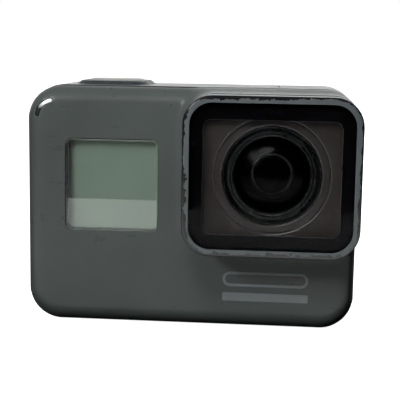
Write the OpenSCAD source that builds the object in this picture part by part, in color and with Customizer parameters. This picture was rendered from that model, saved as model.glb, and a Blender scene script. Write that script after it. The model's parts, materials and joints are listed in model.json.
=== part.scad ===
// Compact action camera: rounded two-part shell, square twist-off lens cover, front status
// screen, rear touch display, battery door underneath and port door on the side.
// +X is to the right when facing the lens, -Y is the way the lens looks, +Z is up.
// The origin is at the middle of the base.

/* [Body] */
// Width of the body, side to side
body_w = 62; // [61:0.5:66]
// Height of the body without the shutter button
body_h = 44.9; // [44.6:0.1:48]
// Depth of the body from its front face to its rear face
body_d = 23.7; // [23.7:0.1:25]
// Radius of the body's four corners, seen from the front
body_r = 6.4; // [5.5:0.1:7.5]
// Radius that rounds the front and rear edges
edge_r = 3.2; // [2.6:0.1:3.4]
// Thickness of the shell's walls
wall = 1.5; // [1.3:0.1:1.5]
// How far the lens cover stands in front of the body's front face
lens_reach = 9; // [9:0.1:10]

/* [Lens] */
// Width of the square lens cover
cover_w = 31.7; // [31:0.1:31.8]
// Height of the square lens cover
cover_h = 28.6; // [28:0.1:29]
// Corner radius of the lens cover
cover_r = 5.2; // [4.5:0.1:5.6]
// Thickness of the lens cover from its glass to its rear face
cover_d = 3.8; // [3.8:0.1:4]
// Radius of the fixed collar that the cover turns on
collar_r = 10.4; // [10.2:0.1:10.6]
// Radius of the lens barrel at its front
barrel_r = 8.85; // [8.6:0.05:9]

/* [Screens] */
// Width of the front status window
window_w = 17.4; // [16.5:0.1:18]
// Height of the front status window
window_h = 17.2; // [16.5:0.1:18]
// Width of the rear display glass
display_w = 53; // [51:0.5:54]
// Height of the rear display glass
display_h = 35.6; // [34:0.2:36]

/* [Doors and buttons] */
// Radial clearance between a hinge pin and its door
pin_gap = 0.05; // [0.02:0.01:0.08]
// Gap round each door and button
door_gap = 0.15; // [0.12:0.01:0.2]
// Travel of the shutter button
shutter_travel = 0.5; // [0.3:0.05:0.5]

/* [Hidden] */
$fn = 48;
eps = 0.01;                      // overlap of two solids that are one piece
past = 1;                        // how far a cutter runs past the face it cuts
fit = 0.1;                       // clearance between pieces that don't move

// Depths along Y, from the lens cover's front to the rear face
depth = body_d + lens_reach;
y_cover = -depth / 2;            // front of the lens cover
y_cover_back = y_cover + cover_d;   // rear face of the lens cover
y_boss = y_cover_back + 0.05;    // front of the lens boss
y_front = y_cover + lens_reach;  // front face of the body
y_seam = y_front + 4.85;         // parting line of the two shells
y_rear = depth / 2;              // rear face

// Insides of the shells
side = body_w / 2;               // outer face of each side wall
inner_side = side - wall;
inner_top = body_h - wall;
seam_seal = 0.3;                 // thickness of the seal between the shells
rear_wall = 1.75;                // wall behind the rear display
mid_z = body_h / 2;

// Lens boss, which stands out of the front face
lens_x = side - cover_w / 2;
cover_drop = 0.8;                // from the body's top down to the cover's top
lens_z = body_h - cover_drop - cover_h / 2;
boss_w = cover_w;
boss_h = cover_h + 0.3;
boss_r = cover_r + 0.2;
boss_wall = 2;
boss_blend = 2.4;                // radius of the concave blend at the boss's foot

// Lens, from front to back
barrel_back_r = 7.6;             // the barrel behind its wide front
collar_front = y_boss - 0.9;
barrel_front = y_boss - 0.7;
barrel_step = y_boss + 6;        // where the wide front ends
ring_seat_r = 8.1;               // seat of the retaining ring
ring_front = y_boss - 0.3;
glass_seat_r = 6.9;              // bore that holds the lens elements
element_r = 6.85;
element_cap_r = 10.5;            // radius of the front element's dome
element_y = y_boss + 1.35;       // where the dome meets the element's edge
aperture_y = element_y + 1;
aperture_r = 3.75;

// Status window
window_x = -14.7;
window_z = 26.5;
window_r = 1.3;
window_seat = 1.1;               // depth of the window's seat in the front face
window_ledge = 0.3;              // width of the ledge that the window rests on
screen_w = 20;
screen_h = 19.8;

// Status lights, which follow two of the body's corners
light_r = 3.1;
light_in = 5.3;                  // distance of each arc's centre from the nearest side wall
light_down = 5.9;                // and from the top or bottom face
light_half = 0.32;               // half the width of each light
light_slot = 0.46;               // half the width of the slot it lies in
light_sink = 0.2;                // how far each light lies under the surface
light_t = 1.9;

// Badge: a blank outlined pill over a plain bar
badge_x = 14.4;
badge_w = 16;
pill_z = 9.5;
pill_h = 2.8;
pill_line = 0.5;
bar_z = 6.1;
bar_h = 1.6;
badge_t = 0.15;

// Shutter button on top
shutter_x = -16;
shutter_y = 7.4;
button_w = 10.4;
button_d = 7.4;
button_r = 2.6;
bezel_rise = 0.7;                // height of the bezel over the top face
bezel_reach = 1.8;               // how much further the bezel reaches in front of the button
button_rise = 0.3;               // height of the button over its bezel
button_flange = 0.7;             // width of the rim that keeps the button in
button_stem = 0.5;               // height of the stem that presses the switch

// Mode button on the left side
mode_y = 7.6;
mode_z = 27;
mode_w = 4.8;
mode_h = 12;

// Speaker behind its grille, low on the left side
grille_y = -0.4;
grille_z = 9;
grille_w = 2.4;
grille_h = 8;
speaker_y = -0.9;
speaker_z = 10.8;

// Battery and the chassis round it
cell_w = 28.2;
cell_d = 10.4;
cell_h = 35.5;
cell_x = -13.5;
cell_y = 7.3;
cell_z = 3.2;
tab_t = 0.4;                     // thickness of the battery's pull tab
chassis_x0 = -28.4;
chassis_x1 = 4.4;
chassis_y0 = cell_y - cell_d / 2 - 0.9;
chassis_y1 = cell_y + cell_d / 2 + 0.6;
chassis_low = 3.5;
chassis_top = 40;
chassis_roof = 1;
card_slot_x = 1.6;               // left face of the memory card slot
card_slot_top = 20.3;

// Main board, what stands on it, and its screws
board_x = 16.7;
board_y = 7.6;
board_z = 22.7;
board_t = 1;
shield_t = 1.6;
screw_places = [[7.4, 5.4], [26.2, 5.4], [7.4, 40], [26.2, 40]];
screw_r = 0.7;
screw_head_r = 1.3;
screw_head_t = 0.8;

// Battery door under the bay: a plate on a pin along Y, and its sliding latch
door_t = 1.5;
door_sink = 0.05;                // how far each door lies under the surface
pin_r = 0.4;
knuckle_r = 0.85;
pin_end = 1.3;                   // length of pin held in the shell past a knuckle
bdoor_hinge_x = 5.4;
bdoor_hinge_z = knuckle_r + door_sink;
bdoor_x0 = -27.4;
bdoor_y0 = 1.6;
bdoor_y1 = 13.2;
bdoor_mid_y = (bdoor_y0 + bdoor_y1) / 2;
blatch_x = -23.4;
blatch_w = 4.4;
blatch_d = 6.4;
blatch_travel = 1.4;

// Port door on the right side: a plate on a pin along Z, and its sliding latch
sdoor_hinge_y = 13.0;
sdoor_hinge_x = side - knuckle_r - door_sink;
sdoor_outer = side - door_sink;
sdoor_y0 = 2.4;
sdoor_z0 = 7.6;
sdoor_z1 = 30.4;
sdoor_mid_z = (sdoor_z0 + sdoor_z1) / 2;
slatch_y = 6;
slatch_z = 12.4;
slatch_w = 5;
slatch_h = 4.4;
slatch_travel = 1.2;

// Ribs and pocket of both latches
latch_r = 0.7;
latch_pocket = 1;                // depth of the pocket that a latch slides in
rib_pitch = 1.1;
rib_w = 0.5;

// Sockets behind the port door
port_y = 5.95;
port_x0 = 22.4;
port_x1 = 29.2;
usb_z = 23.4;
usb_w = 3.26;
usb_h = 8.94;
usb_r = 1.6;
hdmi_z = 13;
hdmi_w = 3;
hdmi_h = 6.6;
hdmi_r = 0.6;
panel_y = 7.2;
panel_z = 19;

// Rear display
display_r = 3;
display_ledge = 2;               // width of the ledge that the display glass rests on
display_seat = 1;                // depth of the glass's seat
glass_back = y_rear - 0.85;      // rear side of the display glass

// Microphone slot in the top
mic_x = 15.8;
mic_y = 6;
mic_slot_w = 0.4;
mic_slot_d = 4;

// Lens cover, from front to back
rim_t = 1.3;                     // width of the cover frame's front rim
rim_round = 0.45;                // step that stands for its rounded edge
lip = 0.5;                       // thickness of the frame's inner lip at the back
pane_w = cover_w - 2 * rim_t - 0.04;
pane_h = cover_h - 2 * rim_t - 0.04;
pane_r = cover_r - rim_t - 0.02;
pane_sink = 0.15;                // how far the glass lies behind the rim
pane_back = y_cover + 1.25;      // rear side of the glass
print_back = pane_back + 0.15;
opening_w = 24.4;                // clear window in the black print
opening_h = 20.4;
opening_down = 0.25;             // how far its middle lies below the lens axis
plate_front = y_cover + 2.75;
cover_seal_r = collar_r + 2.2;

// ---- shared shapes -------------------------------------------------------------------------

// Flat rounded rectangle centred on the origin
module round_rect(w, h, r) {
    square([w - 2 * r, h], center = true);
    square([w, h - 2 * r], center = true);
    for (x = [-1, 1], z = [-1, 1])
        translate([x * (w / 2 - r), z * (h / 2 - r)]) circle(r);
}

// Plate in the XZ plane from y0 to y1, centred at (x, z)
module plate_y(x, z, w, h, r, y0, y1) {
    translate([x, y1, z]) rotate([90, 0, 0]) linear_extrude(y1 - y0) round_rect(w, h, r);
}

// Plate in the XY plane from z0 to z1, centred at (x, y)
module plate_z(x, y, w, d, r, z0, z1) {
    translate([x, y, z0]) linear_extrude(z1 - z0) round_rect(w, d, r);
}

// Plate in the YZ plane from x0 to x1, centred at (y, z)
module plate_x(y, z, w, h, r, x0, x1) {
    translate([x0, y, z]) rotate([90, 0, 90]) linear_extrude(x1 - x0) round_rect(w, h, r);
}

// Cylinder along Y from y0 to y1
module rod_y(x, z, r, y0, y1) {
    translate([x, y0, z]) rotate([-90, 0, 0]) cylinder(r = r, h = y1 - y0);
}

// Cylinder along Z from z0 to z1
module rod_z(x, y, r, z0, z1) {
    translate([x, y, z0]) cylinder(r = r, h = z1 - z0);
}

// Box from its low corner to its high corner
module box(lo, hi) {
    translate(lo) cube(hi - lo);
}

// Cylinder about the lens axis
module lens_rod(r, y0, y1) {
    rod_y(lens_x, lens_z, r, y0, y1);
}

// Ring about the lens axis
module lens_ring(ro, ri, y0, y1) {
    difference() {
        lens_rod(ro, y0, y1);
        lens_rod(ri, y0 - past, y1 + past);
    }
}

// Disc of the body's corner radius and depth, with both its edges rounded
module corner_disc() {
    ring = body_r - edge_r;
    front = [for (a = [0:15:90]) [ring + edge_r * sin(a), edge_r * (1 - cos(a))]];
    rear = [for (a = [90:-15:0]) [ring + edge_r * sin(a), body_d - edge_r * (1 - cos(a))]];
    rotate([-90, 0, 0]) rotate_extrude($fn = 32)
        polygon(concat([[0, 0]], front, rear, [[0, body_d]]));
}

// The whole body's outside, as one convex solid
module body_outside() {
    hull() for (x = [-1, 1], z = [body_r, body_h - body_r])
        translate([x * (side - body_r), y_front, z]) corner_disc();
}

// The body's outline, grown or shrunk, between two depths
module body_prism(grow, r, y0, y1) {
    plate_y(0, mid_z, body_w + 2 * grow, body_h + 2 * grow, r, y0, y1);
}

// Everything between two depths
module slab(y0, y1) {
    box([-body_w, y0, -body_h], [body_w, y1, 2 * body_h]);
}

// The hollow inside both shells
module cavity(y0, y1) {
    body_prism(-wall, body_r - wall, y0, y1);
}

// ---- shells --------------------------------------------------------------------------------

// Concave blend at the boss's foot, along its left side, its lower edge and the corner between
module boss_foot() {
    r = boss_blend;
    root = 0.5;                  // how deep the blend reaches into the front face
    left = lens_x - boss_w / 2;
    low = lens_z - boss_h / 2;
    right_end = lens_x + 9;
    top_end = lens_z + 9;
    difference() {
        box([left - r, y_front - r, low - r], [left + cover_r, y_front + root, top_end]);
        rod_z(left - r, y_front - r, r, low + cover_r, top_end + past);
        box([left - r - past, y_front - r - past, low - r - past],
            [left + cover_r + past, y_front + past, low + cover_r]);
    }
    difference() {
        box([left + cover_r, y_front - r, low - r], [right_end, y_front + root, low + cover_r]);
        translate([left + cover_r - eps, y_front - r, low - r])
            rotate([0, 90, 0]) cylinder(r = r, h = right_end - left);
    }
    translate([left + cover_r, y_front + root, low + cover_r]) rotate([90, 0, 0])
        rotate([0, 0, 180]) rotate_extrude(angle = 90) difference() {
            square([cover_r + r, r + root]);
            translate([cover_r + r, r + root]) circle(r);
        }
}

// Curved bar of a status light or its slot, about (x, z) from angle a0 to a1
module corner_arc(x, z, a0, a1, half, y0, y1) {
    translate([x, y1, z]) rotate([90, 0, 0]) {
        rotate([0, 0, a0]) rotate_extrude(angle = a1 - a0)
            translate([light_r - half, 0]) square([2 * half, y1 - y0]);
        for (a = [a0, a1])
            rotate([0, 0, a]) translate([light_r, 0, 0]) cylinder(r = half, h = y1 - y0);
    }
}
module front_light(half, y0, y1) {
    corner_arc(light_in - side, body_h - light_down, 100, 170, half, y0, y1);
}
module rear_light(half, y0, y1) {
    corner_arc(side - light_in, light_down, 280, 350, half, y0, y1);
}

// The badge's blank outlined pill over its plain bar
module badge(y0, y1) {
    pill_in_w = badge_w - 2 * pill_line;
    pill_in_h = pill_h - 2 * pill_line;
    difference() {
        plate_y(badge_x, pill_z, badge_w, pill_h, pill_h / 2 - fit, y0, y1);
        plate_y(badge_x, pill_z, pill_in_w, pill_in_h, pill_in_h / 2 - fit / 2,
                y0 - past, y1 + past);
    }
    plate_y(badge_x, bar_z, badge_w, bar_h, 0.3, y0, y1);
}

module front_housing() {
    color([0.27, 0.3, 0.3]) difference() {
        union() {
            intersection() {
                body_outside();
                slab(y_front - past, y_seam - seam_seal / 2);
            }
            intersection() {
                plate_y(lens_x, lens_z, boss_w, boss_h, boss_r, y_boss, y_seam - 0.2);
                body_prism(-0.02, body_r, y_boss - past, y_seam);
            }
            boss_foot();
        }
        cavity(y_front + wall, y_seam + past);
        plate_y(window_x, window_z, window_w, window_h, window_r,
                y_front - past, y_front + window_seat);
        plate_y(window_x, window_z, window_w - 2 * window_ledge, window_h - 2 * window_ledge,
                window_r - window_ledge, y_front, y_front + wall + past);
        lens_rod(barrel_r + 0.15, y_boss - past, y_seam);
        plate_y(lens_x, lens_z, boss_w - 2 * boss_wall, boss_h - 2 * boss_wall,
                boss_r - boss_wall + 0.3, y_boss + wall, y_front + 2 * wall);
        front_light(light_slot, y_front - past, y_front + wall + past);
        badge(y_front - past, y_front + badge_t);
    }
}

// Openings that the two doors close, each grown by a gap
module battery_opening(grow) {
    box([bdoor_x0 - grow, bdoor_y0 - grow, -past],
        [bdoor_hinge_x + knuckle_r + grow, bdoor_y1 + grow, wall + past]);
}
module port_opening(grow) {
    box([inner_side - past, sdoor_y0 - grow, sdoor_z0 - grow],
        [side + past, sdoor_hinge_y + knuckle_r + grow, sdoor_z1 + grow]);
}

// Blocks inside the shell that hold the ends of both hinge pins
module hinge_blocks() {
    block_t = 1.5;
    box([bdoor_hinge_x - 1.2, bdoor_y1 + door_gap, 0.6],
        [bdoor_hinge_x + 1.8, bdoor_y1 + door_gap + block_t, 2.6]);
    for (z = [sdoor_z0 - door_gap - block_t, sdoor_z1 + door_gap])
        box([side - 2.6, sdoor_hinge_y - 1.2, z],
            [side - 0.9, sdoor_hinge_y + 0.9, z + block_t]);
}

module rear_housing() {
    color([0.25, 0.28, 0.28]) difference() {
        union() {
            difference() {
                intersection() {
                    body_outside();
                    slab(y_seam + seam_seal / 2, y_rear + past);
                }
                cavity(y_seam - past, y_rear - rear_wall);
                battery_opening(door_gap);
                port_opening(door_gap);
            }
            hinge_blocks();
        }
        plate_y(0, mid_z, display_w + 2 * fit, display_h + 2 * fit, display_r + fit,
                y_rear - display_seat, y_rear + past);
        plate_y(0, mid_z, display_w - 2 * display_ledge, display_h - 2 * display_ledge,
                display_r - display_ledge + 0.6, y_rear - rear_wall - past, y_rear + past);
        plate_z(shutter_x, shutter_y, button_w + 2 * door_gap, button_d + 2 * door_gap,
                button_r + door_gap, inner_top - past, body_h + past);
        plate_x(mode_y, mode_z, mode_w + 2 * door_gap, mode_h + 2 * door_gap,
                mode_w / 2 + door_gap - eps, -side - past, past - inner_side);
        rear_light(light_slot, y_rear - 2, y_rear + past);
        plate_x(grille_y, grille_z, grille_w + fit, grille_h + fit, 1,
                -side - past, past - inner_side);
        plate_z(mic_x, mic_y, mic_slot_w, mic_slot_d, mic_slot_w / 2 - eps,
                inner_top - past, body_h + past);
        rod_y(bdoor_hinge_x, bdoor_hinge_z, pin_r, bdoor_y0 - pin_end / 4,
              bdoor_y1 + pin_end + fit);
        rod_z(sdoor_hinge_x, sdoor_hinge_y, pin_r, sdoor_z0 - pin_end - fit,
              sdoor_z1 + pin_end + fit);
    }
}

module housing_seal() {
    color([0.05, 0.05, 0.05]) difference() {
        body_prism(-0.15, body_r - 0.15, y_seam - seam_seal / 2, y_seam + seam_seal / 2);
        cavity(y_seam - past, y_seam + past);
    }
}

module badge_inlay() {
    color([0.42, 0.45, 0.46]) badge(y_front + 0.02, y_front + badge_t);
}

module front_status_light() {
    color([0.75, 0.78, 0.76]) intersection() {
        translate([0, light_sink, 0]) body_outside();
        front_light(light_half, y_front, y_front + light_t);
    }
}

module rear_status_light() {
    color([0.75, 0.78, 0.76]) intersection() {
        translate([0, -light_sink, 0]) body_outside();
        rear_light(light_half, y_rear - light_t, y_rear);
    }
}

// ---- status screen -------------------------------------------------------------------------

module status_window() {
    gap = 0.08;
    color([0.55, 0.6, 0.57, 0.4])
        plate_y(window_x, window_z, window_w - 2 * gap, window_h - 2 * gap, window_r - gap,
                y_front + fit, y_front + window_seat);
}

module status_window_gasket() {
    y = y_front + wall;
    color([0.04, 0.04, 0.04]) difference() {
        plate_y(window_x, window_z, screen_w, screen_h, window_r + 0.3, y, y + 0.5);
        plate_y(window_x, window_z, window_w - 2 * window_ledge, window_h - 2 * window_ledge,
                window_r, y - past, y + past);
    }
}

module status_screen() {
    y = y_front + wall + 0.5;
    color([0.42, 0.46, 0.42])
        plate_y(window_x, window_z, screen_w, screen_h, 0.6, y, y + 1.8);
}

module status_screen_board() {
    y = y_front + wall + 2.3;
    back = y + 0.8;
    color([0.05, 0.2, 0.12]) {
        plate_y(window_x, window_z, 24, 23, 1, y, back);
        plate_y(window_x - 6, window_z + 6, 4, 4, 0.2, back, back + 0.8);
        plate_y(window_x + 4, window_z - 5, 7, 2.4, 0.2, back, back + 1.1);
    }
}

// ---- lens ----------------------------------------------------------------------------------

module lens_collar() {
    color([0.16, 0.15, 0.14]) lens_ring(collar_r, barrel_r + fit, collar_front, y_boss);
}

module lens_barrel() {
    ring_seat = barrel_front + 1.8;
    color([0.02, 0.02, 0.02]) {
        difference() {
            lens_rod(barrel_r, barrel_front, barrel_step);
            translate([lens_x, barrel_front - eps, lens_z]) rotate([-90, 0, 0])
                cylinder(r1 = barrel_r - 0.15, r2 = ring_seat_r, h = 0.8);
            lens_rod(ring_seat_r, barrel_front - past, ring_seat);
            lens_rod(glass_seat_r, barrel_front, barrel_step + past);
        }
        lens_ring(barrel_back_r, 6, barrel_step, barrel_step + 7.5);
    }
}

module lens_retaining_ring() {
    color([0.2, 0.23, 0.23]) difference() {
        lens_rod(ring_seat_r, ring_front, barrel_front + 1.8);
        lens_rod(7.1, ring_front - past, element_y);
        lens_ring(7.75, 7.5, ring_front - past, ring_front + 0.15);
    }
}

// Fish-eye front element: a spherical cap on a short disc
module front_lens_element() {
    rise = element_cap_r - sqrt(pow(element_cap_r, 2) - pow(element_r, 2));
    color([0.05, 0.06, 0.08, 0.4]) {
        intersection() {
            translate([lens_x, element_y - rise + element_cap_r, lens_z]) sphere(element_cap_r);
            lens_rod(element_r, element_y - rise - past, element_y);
        }
        lens_rod(element_r, element_y - eps, aperture_y);
    }
}

module inner_lens_element() {
    color([0.08, 0.09, 0.12, 0.4]) lens_rod(aperture_r - 0.05, aperture_y + 0.8, barrel_step);
}

module lens_aperture_ring() {
    taper = 0.8;
    color([0.08, 0.08, 0.09]) difference() {
        lens_rod(glass_seat_r - 0.02, aperture_y, aperture_y + 2.5);
        translate([lens_x, aperture_y - eps, lens_z]) rotate([-90, 0, 0])
            cylinder(r1 = 5.4, r2 = aperture_r + 0.05, h = taper + 2 * eps);
        lens_rod(aperture_r, aperture_y - past, barrel_step + past);
    }
}

module lens_mount() {
    flange = 1.2;                // front of the flange that is screwed to the chassis
    color([0.1, 0.1, 0.11]) difference() {
        union() {
            plate_y(lens_x, lens_z, 20, 20, 1.5, flange, flange + 1);
            lens_rod(barrel_back_r + 0.9, -4.6, flange);
            plate_y(lens_x, lens_z, 14, 14, 0.6, flange + 1, flange + 4);
        }
        lens_rod(barrel_back_r + 0.02, -4.6 - past, flange + 1.4);
        plate_y(lens_x, lens_z, 12, 12, 0.5, flange + 1.4 - eps, flange + 4 + past);
    }
}

module image_sensor() {
    color([0.1, 0.14, 0.2]) plate_y(lens_x, lens_z, 9, 7.4, 0.2, 4.1, 5.2);
}

module sensor_board() {
    front = 5.2;
    color([0.05, 0.2, 0.12]) {
        plate_y(lens_x, lens_z, 14, 14, 0.8, front, front + 1);
        plate_y(lens_x, lens_z - 5, 8, 2, 0.2, front + 1, front + 1.8);
    }
}

// ---- boards, chassis and battery -----------------------------------------------------------

module main_board() {
    color([0.04, 0.18, 0.12]) difference() {
        plate_y(board_x, board_z, 22.4, 38.6, 1, board_y, board_y + board_t);
        for (p = screw_places)
            rod_y(p[0], p[1], screw_r + fit, board_y - past, board_y + board_t + past);
    }
}

module processor_shield() {
    y = board_y + board_t;
    color([0.6, 0.6, 0.6]) {
        plate_y(16, 27, 15, 15, 0.6, y, y + shield_t);
        plate_y(15, 12, 11, 8, 0.5, y, y + shield_t - 0.2);
    }
}

module heat_spreader() {
    y = board_y + board_t + shield_t;
    color([0.7, 0.45, 0.3]) difference() {
        plate_y(board_x, 23, 21, 32, 1.5, y, y + 0.6);
        for (z = [14, 34]) rod_y(25, z, 1, y - past, y + past);
    }
}

module inner_chassis() {
    tray_y0 = 2.2;               // plate behind the lens that carries the boards
    tray_y1 = 3.2;
    bay_y0 = chassis_y0 + 0.75;
    bay_y1 = chassis_y1 - 0.5;
    color([0.13, 0.13, 0.14]) difference() {
        union() {
            box([chassis_x0, chassis_y0, chassis_low], [chassis_x1, chassis_y1, chassis_top]);
            plate_y(board_x - 0.3, board_z, 25, 38.6, 1, tray_y0, tray_y1);
            for (p = screw_places) rod_y(p[0], p[1], 1.6, tray_y1 - eps, board_y);
        }
        box([cell_x - cell_w / 2 - 0.12, bay_y0, 0],
            [cell_x + cell_w / 2 + 0.12, bay_y1, chassis_top - chassis_roof]);
        box([card_slot_x - 0.1, bay_y0, 0], [card_slot_x + 2, bay_y1, card_slot_top + 0.1]);
        plate_y(lens_x, lens_z, 17.4, 17.4, 0.6, tray_y0 - past, tray_y1 + past);
        plate_x(mode_y, mode_z, 4.8, 4.8, 0.6, chassis_x0 - past, chassis_x0 + 0.4);
        for (p = screw_places) rod_y(p[0], p[1], screw_r, board_y - 3.2, board_y + past);
    }
}

module battery() {
    color([0.1, 0.1, 0.11])
        plate_z(cell_x, cell_y, cell_w, cell_d, 2.2, cell_z + tab_t, cell_z + cell_h);
}

module battery_pull_tab() {
    color([0.75, 0.75, 0.73])
        box([cell_x + 2, cell_y - 3.5, cell_z], [cell_x + 10, cell_y + 3.5, cell_z + tab_t]);
}

module battery_contacts() {
    pitch = 3;
    first = cell_x - 7.4;
    color([0.8, 0.65, 0.3]) for (i = [0:3])
        box([first + pitch * i, cell_y - 3, cell_z + cell_h],
            [first + pitch * i + 1.6, cell_y + 3, chassis_top - chassis_roof]);
}

module memory_card_slot() {
    y0 = 2.1;
    y1 = 12.3;
    color([0.65, 0.65, 0.66]) difference() {
        box([card_slot_x, y0, 5.4], [card_slot_x + 1.9, y1, card_slot_top]);
        box([card_slot_x + 0.45, y0 + 0.3, 5], [card_slot_x + 1.45, y1 - 0.3, 19.6]);
    }
}

module memory_card() {
    color([0.06, 0.06, 0.07]) box([card_slot_x + 0.5, 2.9, 3.9], [card_slot_x + 1.4, 11.9, 18.9]);
}

// ---- ports ---------------------------------------------------------------------------------

// Rounded metal socket that opens towards +X, with a tongue in it
module socket(z, w, h, r, tongue_w, tongue_h) {
    shell = 0.3;
    back = port_x0 + 1;
    difference() {
        plate_x(port_y, z, w, h, r, port_x0, port_x1);
        plate_x(port_y, z, w - 2 * shell, h - 2 * shell, r - shell, back, port_x1 + past);
    }
    plate_x(port_y, z, tongue_w, tongue_h, tongue_w / 2 - 0.05, back - eps, port_x1 - 1);
}

module usb_port() {
    color([0.7, 0.7, 0.7]) socket(usb_z, usb_w, usb_h, usb_r, 0.7, 6.6);
}

module hdmi_port() {
    color([0.7, 0.7, 0.7]) socket(hdmi_z, hdmi_w, hdmi_h, hdmi_r, 0.6, 4.6);
}

module port_panel() {
    x0 = port_x1 - 1;
    x1 = port_x1 - 0.2;
    color([0.06, 0.06, 0.06]) difference() {
        plate_x(panel_y, panel_z, 7.6, 20, 1.4, x0, x1);
        plate_x(port_y, usb_z, usb_w + 0.14, usb_h + 0.16, usb_r + 0.05, x0 - past, x1 + past);
        plate_x(port_y, hdmi_z, hdmi_w + 0.2, hdmi_h + 0.2, hdmi_r + 0.1, x0 - past, x1 + past);
    }
}

// ---- rear display --------------------------------------------------------------------------

module display_glass() {
    color([0.02, 0.02, 0.02])
        plate_y(0, mid_z, display_w, display_h, display_r, glass_back, y_rear - 0.08);
}

module display_gasket() {
    color([0.03, 0.03, 0.03]) difference() {
        plate_y(0, mid_z, display_w, display_h, display_r, y_rear - display_seat, glass_back);
        plate_y(0, mid_z, display_w - 2 * display_ledge, display_h - 2 * display_ledge,
                display_r - display_ledge + 0.6, y_rear - display_seat - past, y_rear);
    }
}

module display_panel() {
    color([0.1, 0.1, 0.12])
        plate_y(0, mid_z, display_w - 2 * display_ledge - 0.4, display_h - 2 * display_ledge - 0.4,
                1.2, y_rear - 3, glass_back);
}

module display_cable() {
    x0 = 10;
    x1 = 18;
    low = 5;
    t = 0.2;
    panel_back = y_rear - 3;
    color([0.6, 0.4, 0.1]) {
        box([x0, 12, low], [x1, 12 + t, 12]);
        box([x0, 12, low], [x1, panel_back, low + t]);
        box([x0, panel_back - t, low], [x1, panel_back, 8]);
    }
}

// ---- buttons, microphones and speaker ------------------------------------------------------

module shutter_bezel() {
    layer = 0.1;
    middle = shutter_y - bezel_reach / 2;
    d = button_d + bezel_reach;
    color([0.3, 0.33, 0.33]) difference() {
        hull() {
            plate_z(shutter_x, middle, button_w + 4.4, d + 3.8, button_r + 1, body_h, body_h + layer);
            plate_z(shutter_x, middle, button_w + 2, d + 1.8, button_r + 0.6,
                    body_h + bezel_rise - layer, body_h + bezel_rise);
        }
        plate_z(shutter_x, shutter_y, button_w + 2 * door_gap, button_d + 2 * door_gap,
                button_r + door_gap, body_h - past, body_h + 2 * past);
    }
}

module shutter_button() {
    flange_t = 0.55;
    flange_top = inner_top - 0.05;
    low = flange_top - flange_t;
    color([0.5, 0.52, 0.5]) {
        plate_z(shutter_x, shutter_y, button_w, button_d, button_r, flange_top,
                body_h + bezel_rise + button_rise);
        plate_z(shutter_x, shutter_y, button_w + 2 * button_flange, button_d + 2 * button_flange,
                button_r + button_flange, low, flange_top);
        rod_z(shutter_x, shutter_y, 1.2, low - button_stem, low);
    }
}

module shutter_switch() {
    top = inner_top - 0.6 - button_stem - shutter_travel - 0.1;
    color([0.7, 0.7, 0.7]) {
        plate_z(shutter_x, shutter_y, 6, 6, 0.5, chassis_top, top - 0.4);
        rod_z(shutter_x, shutter_y, 1.6, top - 0.4, top);
    }
}

module mode_button() {
    flange = 0.05 - inner_side;
    color([0.3, 0.33, 0.33]) {
        plate_x(mode_y, mode_z, mode_w, mode_h, mode_w / 2 - eps, 0.02 - side, flange);
        plate_x(mode_y, mode_z, mode_w + 1.2, mode_h + 1.2, mode_w / 2 + 0.59, flange,
                flange + 0.45);
    }
}

module mode_switch() {
    back = chassis_x0 + 0.38;
    color([0.7, 0.7, 0.7]) plate_x(mode_y, mode_z, 4.4, 4.4, 0.5, back - 0.53, back);
}

module microphones() {
    t = 1.1;
    color([0.75, 0.7, 0.5]) {
        box([mic_x - 1.8, mic_y - 2.3, inner_top - t], [mic_x + 1.8, mic_y + 1.7, inner_top]);
        box([-29.2, -4.4, 17], [-29.2 + t, -1.4, 21]);
    }
}

module speaker() {
    front = 0.1 - inner_side;
    back = front + 2.9;
    color([0.12, 0.12, 0.12]) {
        plate_x(speaker_y, speaker_z, 3.4, 9.2, 1, front, back);
        plate_x(speaker_y, speaker_z, 2.6, 7.4, 1, back, back + 1.2);
    }
}

module speaker_grille() {
    color([0.08, 0.08, 0.08]) difference() {
        plate_x(grille_y, grille_z, grille_w, grille_h, 0.95, 0.2 - side, -inner_side);
        for (i = [-2:2])
            plate_x(grille_y, grille_z + 1.4 * i, 1.5, 0.6, 0.28, -side, past - inner_side);
    }
}

module antenna_strip() {
    color([0.75, 0.6, 0.3]) plate_z(13.6, 10.4, 21, 3.6, 0.4, inner_top - 0.4, inner_top);
}

module board_screws() {
    y = board_y + board_t;
    color([0.6, 0.6, 0.62]) for (p = screw_places) {
        difference() {
            rod_y(p[0], p[1], screw_head_r, y, y + screw_head_t);
            translate([p[0], y + screw_head_t / 2, p[1]]) rotate([-90, 0, 0])
                cylinder(r = 0.6, h = past, $fn = 6);
        }
        rod_y(p[0], p[1], screw_r, board_y - 3, y + eps);
    }
}

// ---- battery door --------------------------------------------------------------------------

module battery_door() {
    color([0.22, 0.25, 0.25]) difference() {
        union() {
            intersection() {
                body_outside();
                plate_z((bdoor_x0 + bdoor_hinge_x) / 2, bdoor_mid_y, bdoor_hinge_x - bdoor_x0,
                        bdoor_y1 - bdoor_y0, 0.3, door_sink, door_sink + door_t);
            }
            rod_y(bdoor_hinge_x, bdoor_hinge_z, knuckle_r, bdoor_y0, bdoor_y1);
        }
        rod_y(bdoor_hinge_x, bdoor_hinge_z, pin_r + pin_gap, bdoor_y0 - past, bdoor_y1 + past);
        plate_z(blatch_x + blatch_travel / 2, bdoor_mid_y, blatch_w + blatch_travel + 2 * door_gap,
                blatch_d + 2 * door_gap, latch_r + fit, -past, door_sink + latch_pocket);
    }
}

module battery_door_seal() {
    top = door_sink + door_t;
    seal_t = 0.7;
    seal_line = 0.8;
    color([0.5, 0.12, 0.08]) difference() {
        plate_z(-12.6, bdoor_mid_y, 25, 8.6, 2, top, top + seal_t);
        plate_z(-12.6, bdoor_mid_y, 25 - 2 * seal_line, 8.6 - 2 * seal_line, 2 - seal_line,
                top - past, top + past);
    }
}

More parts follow.
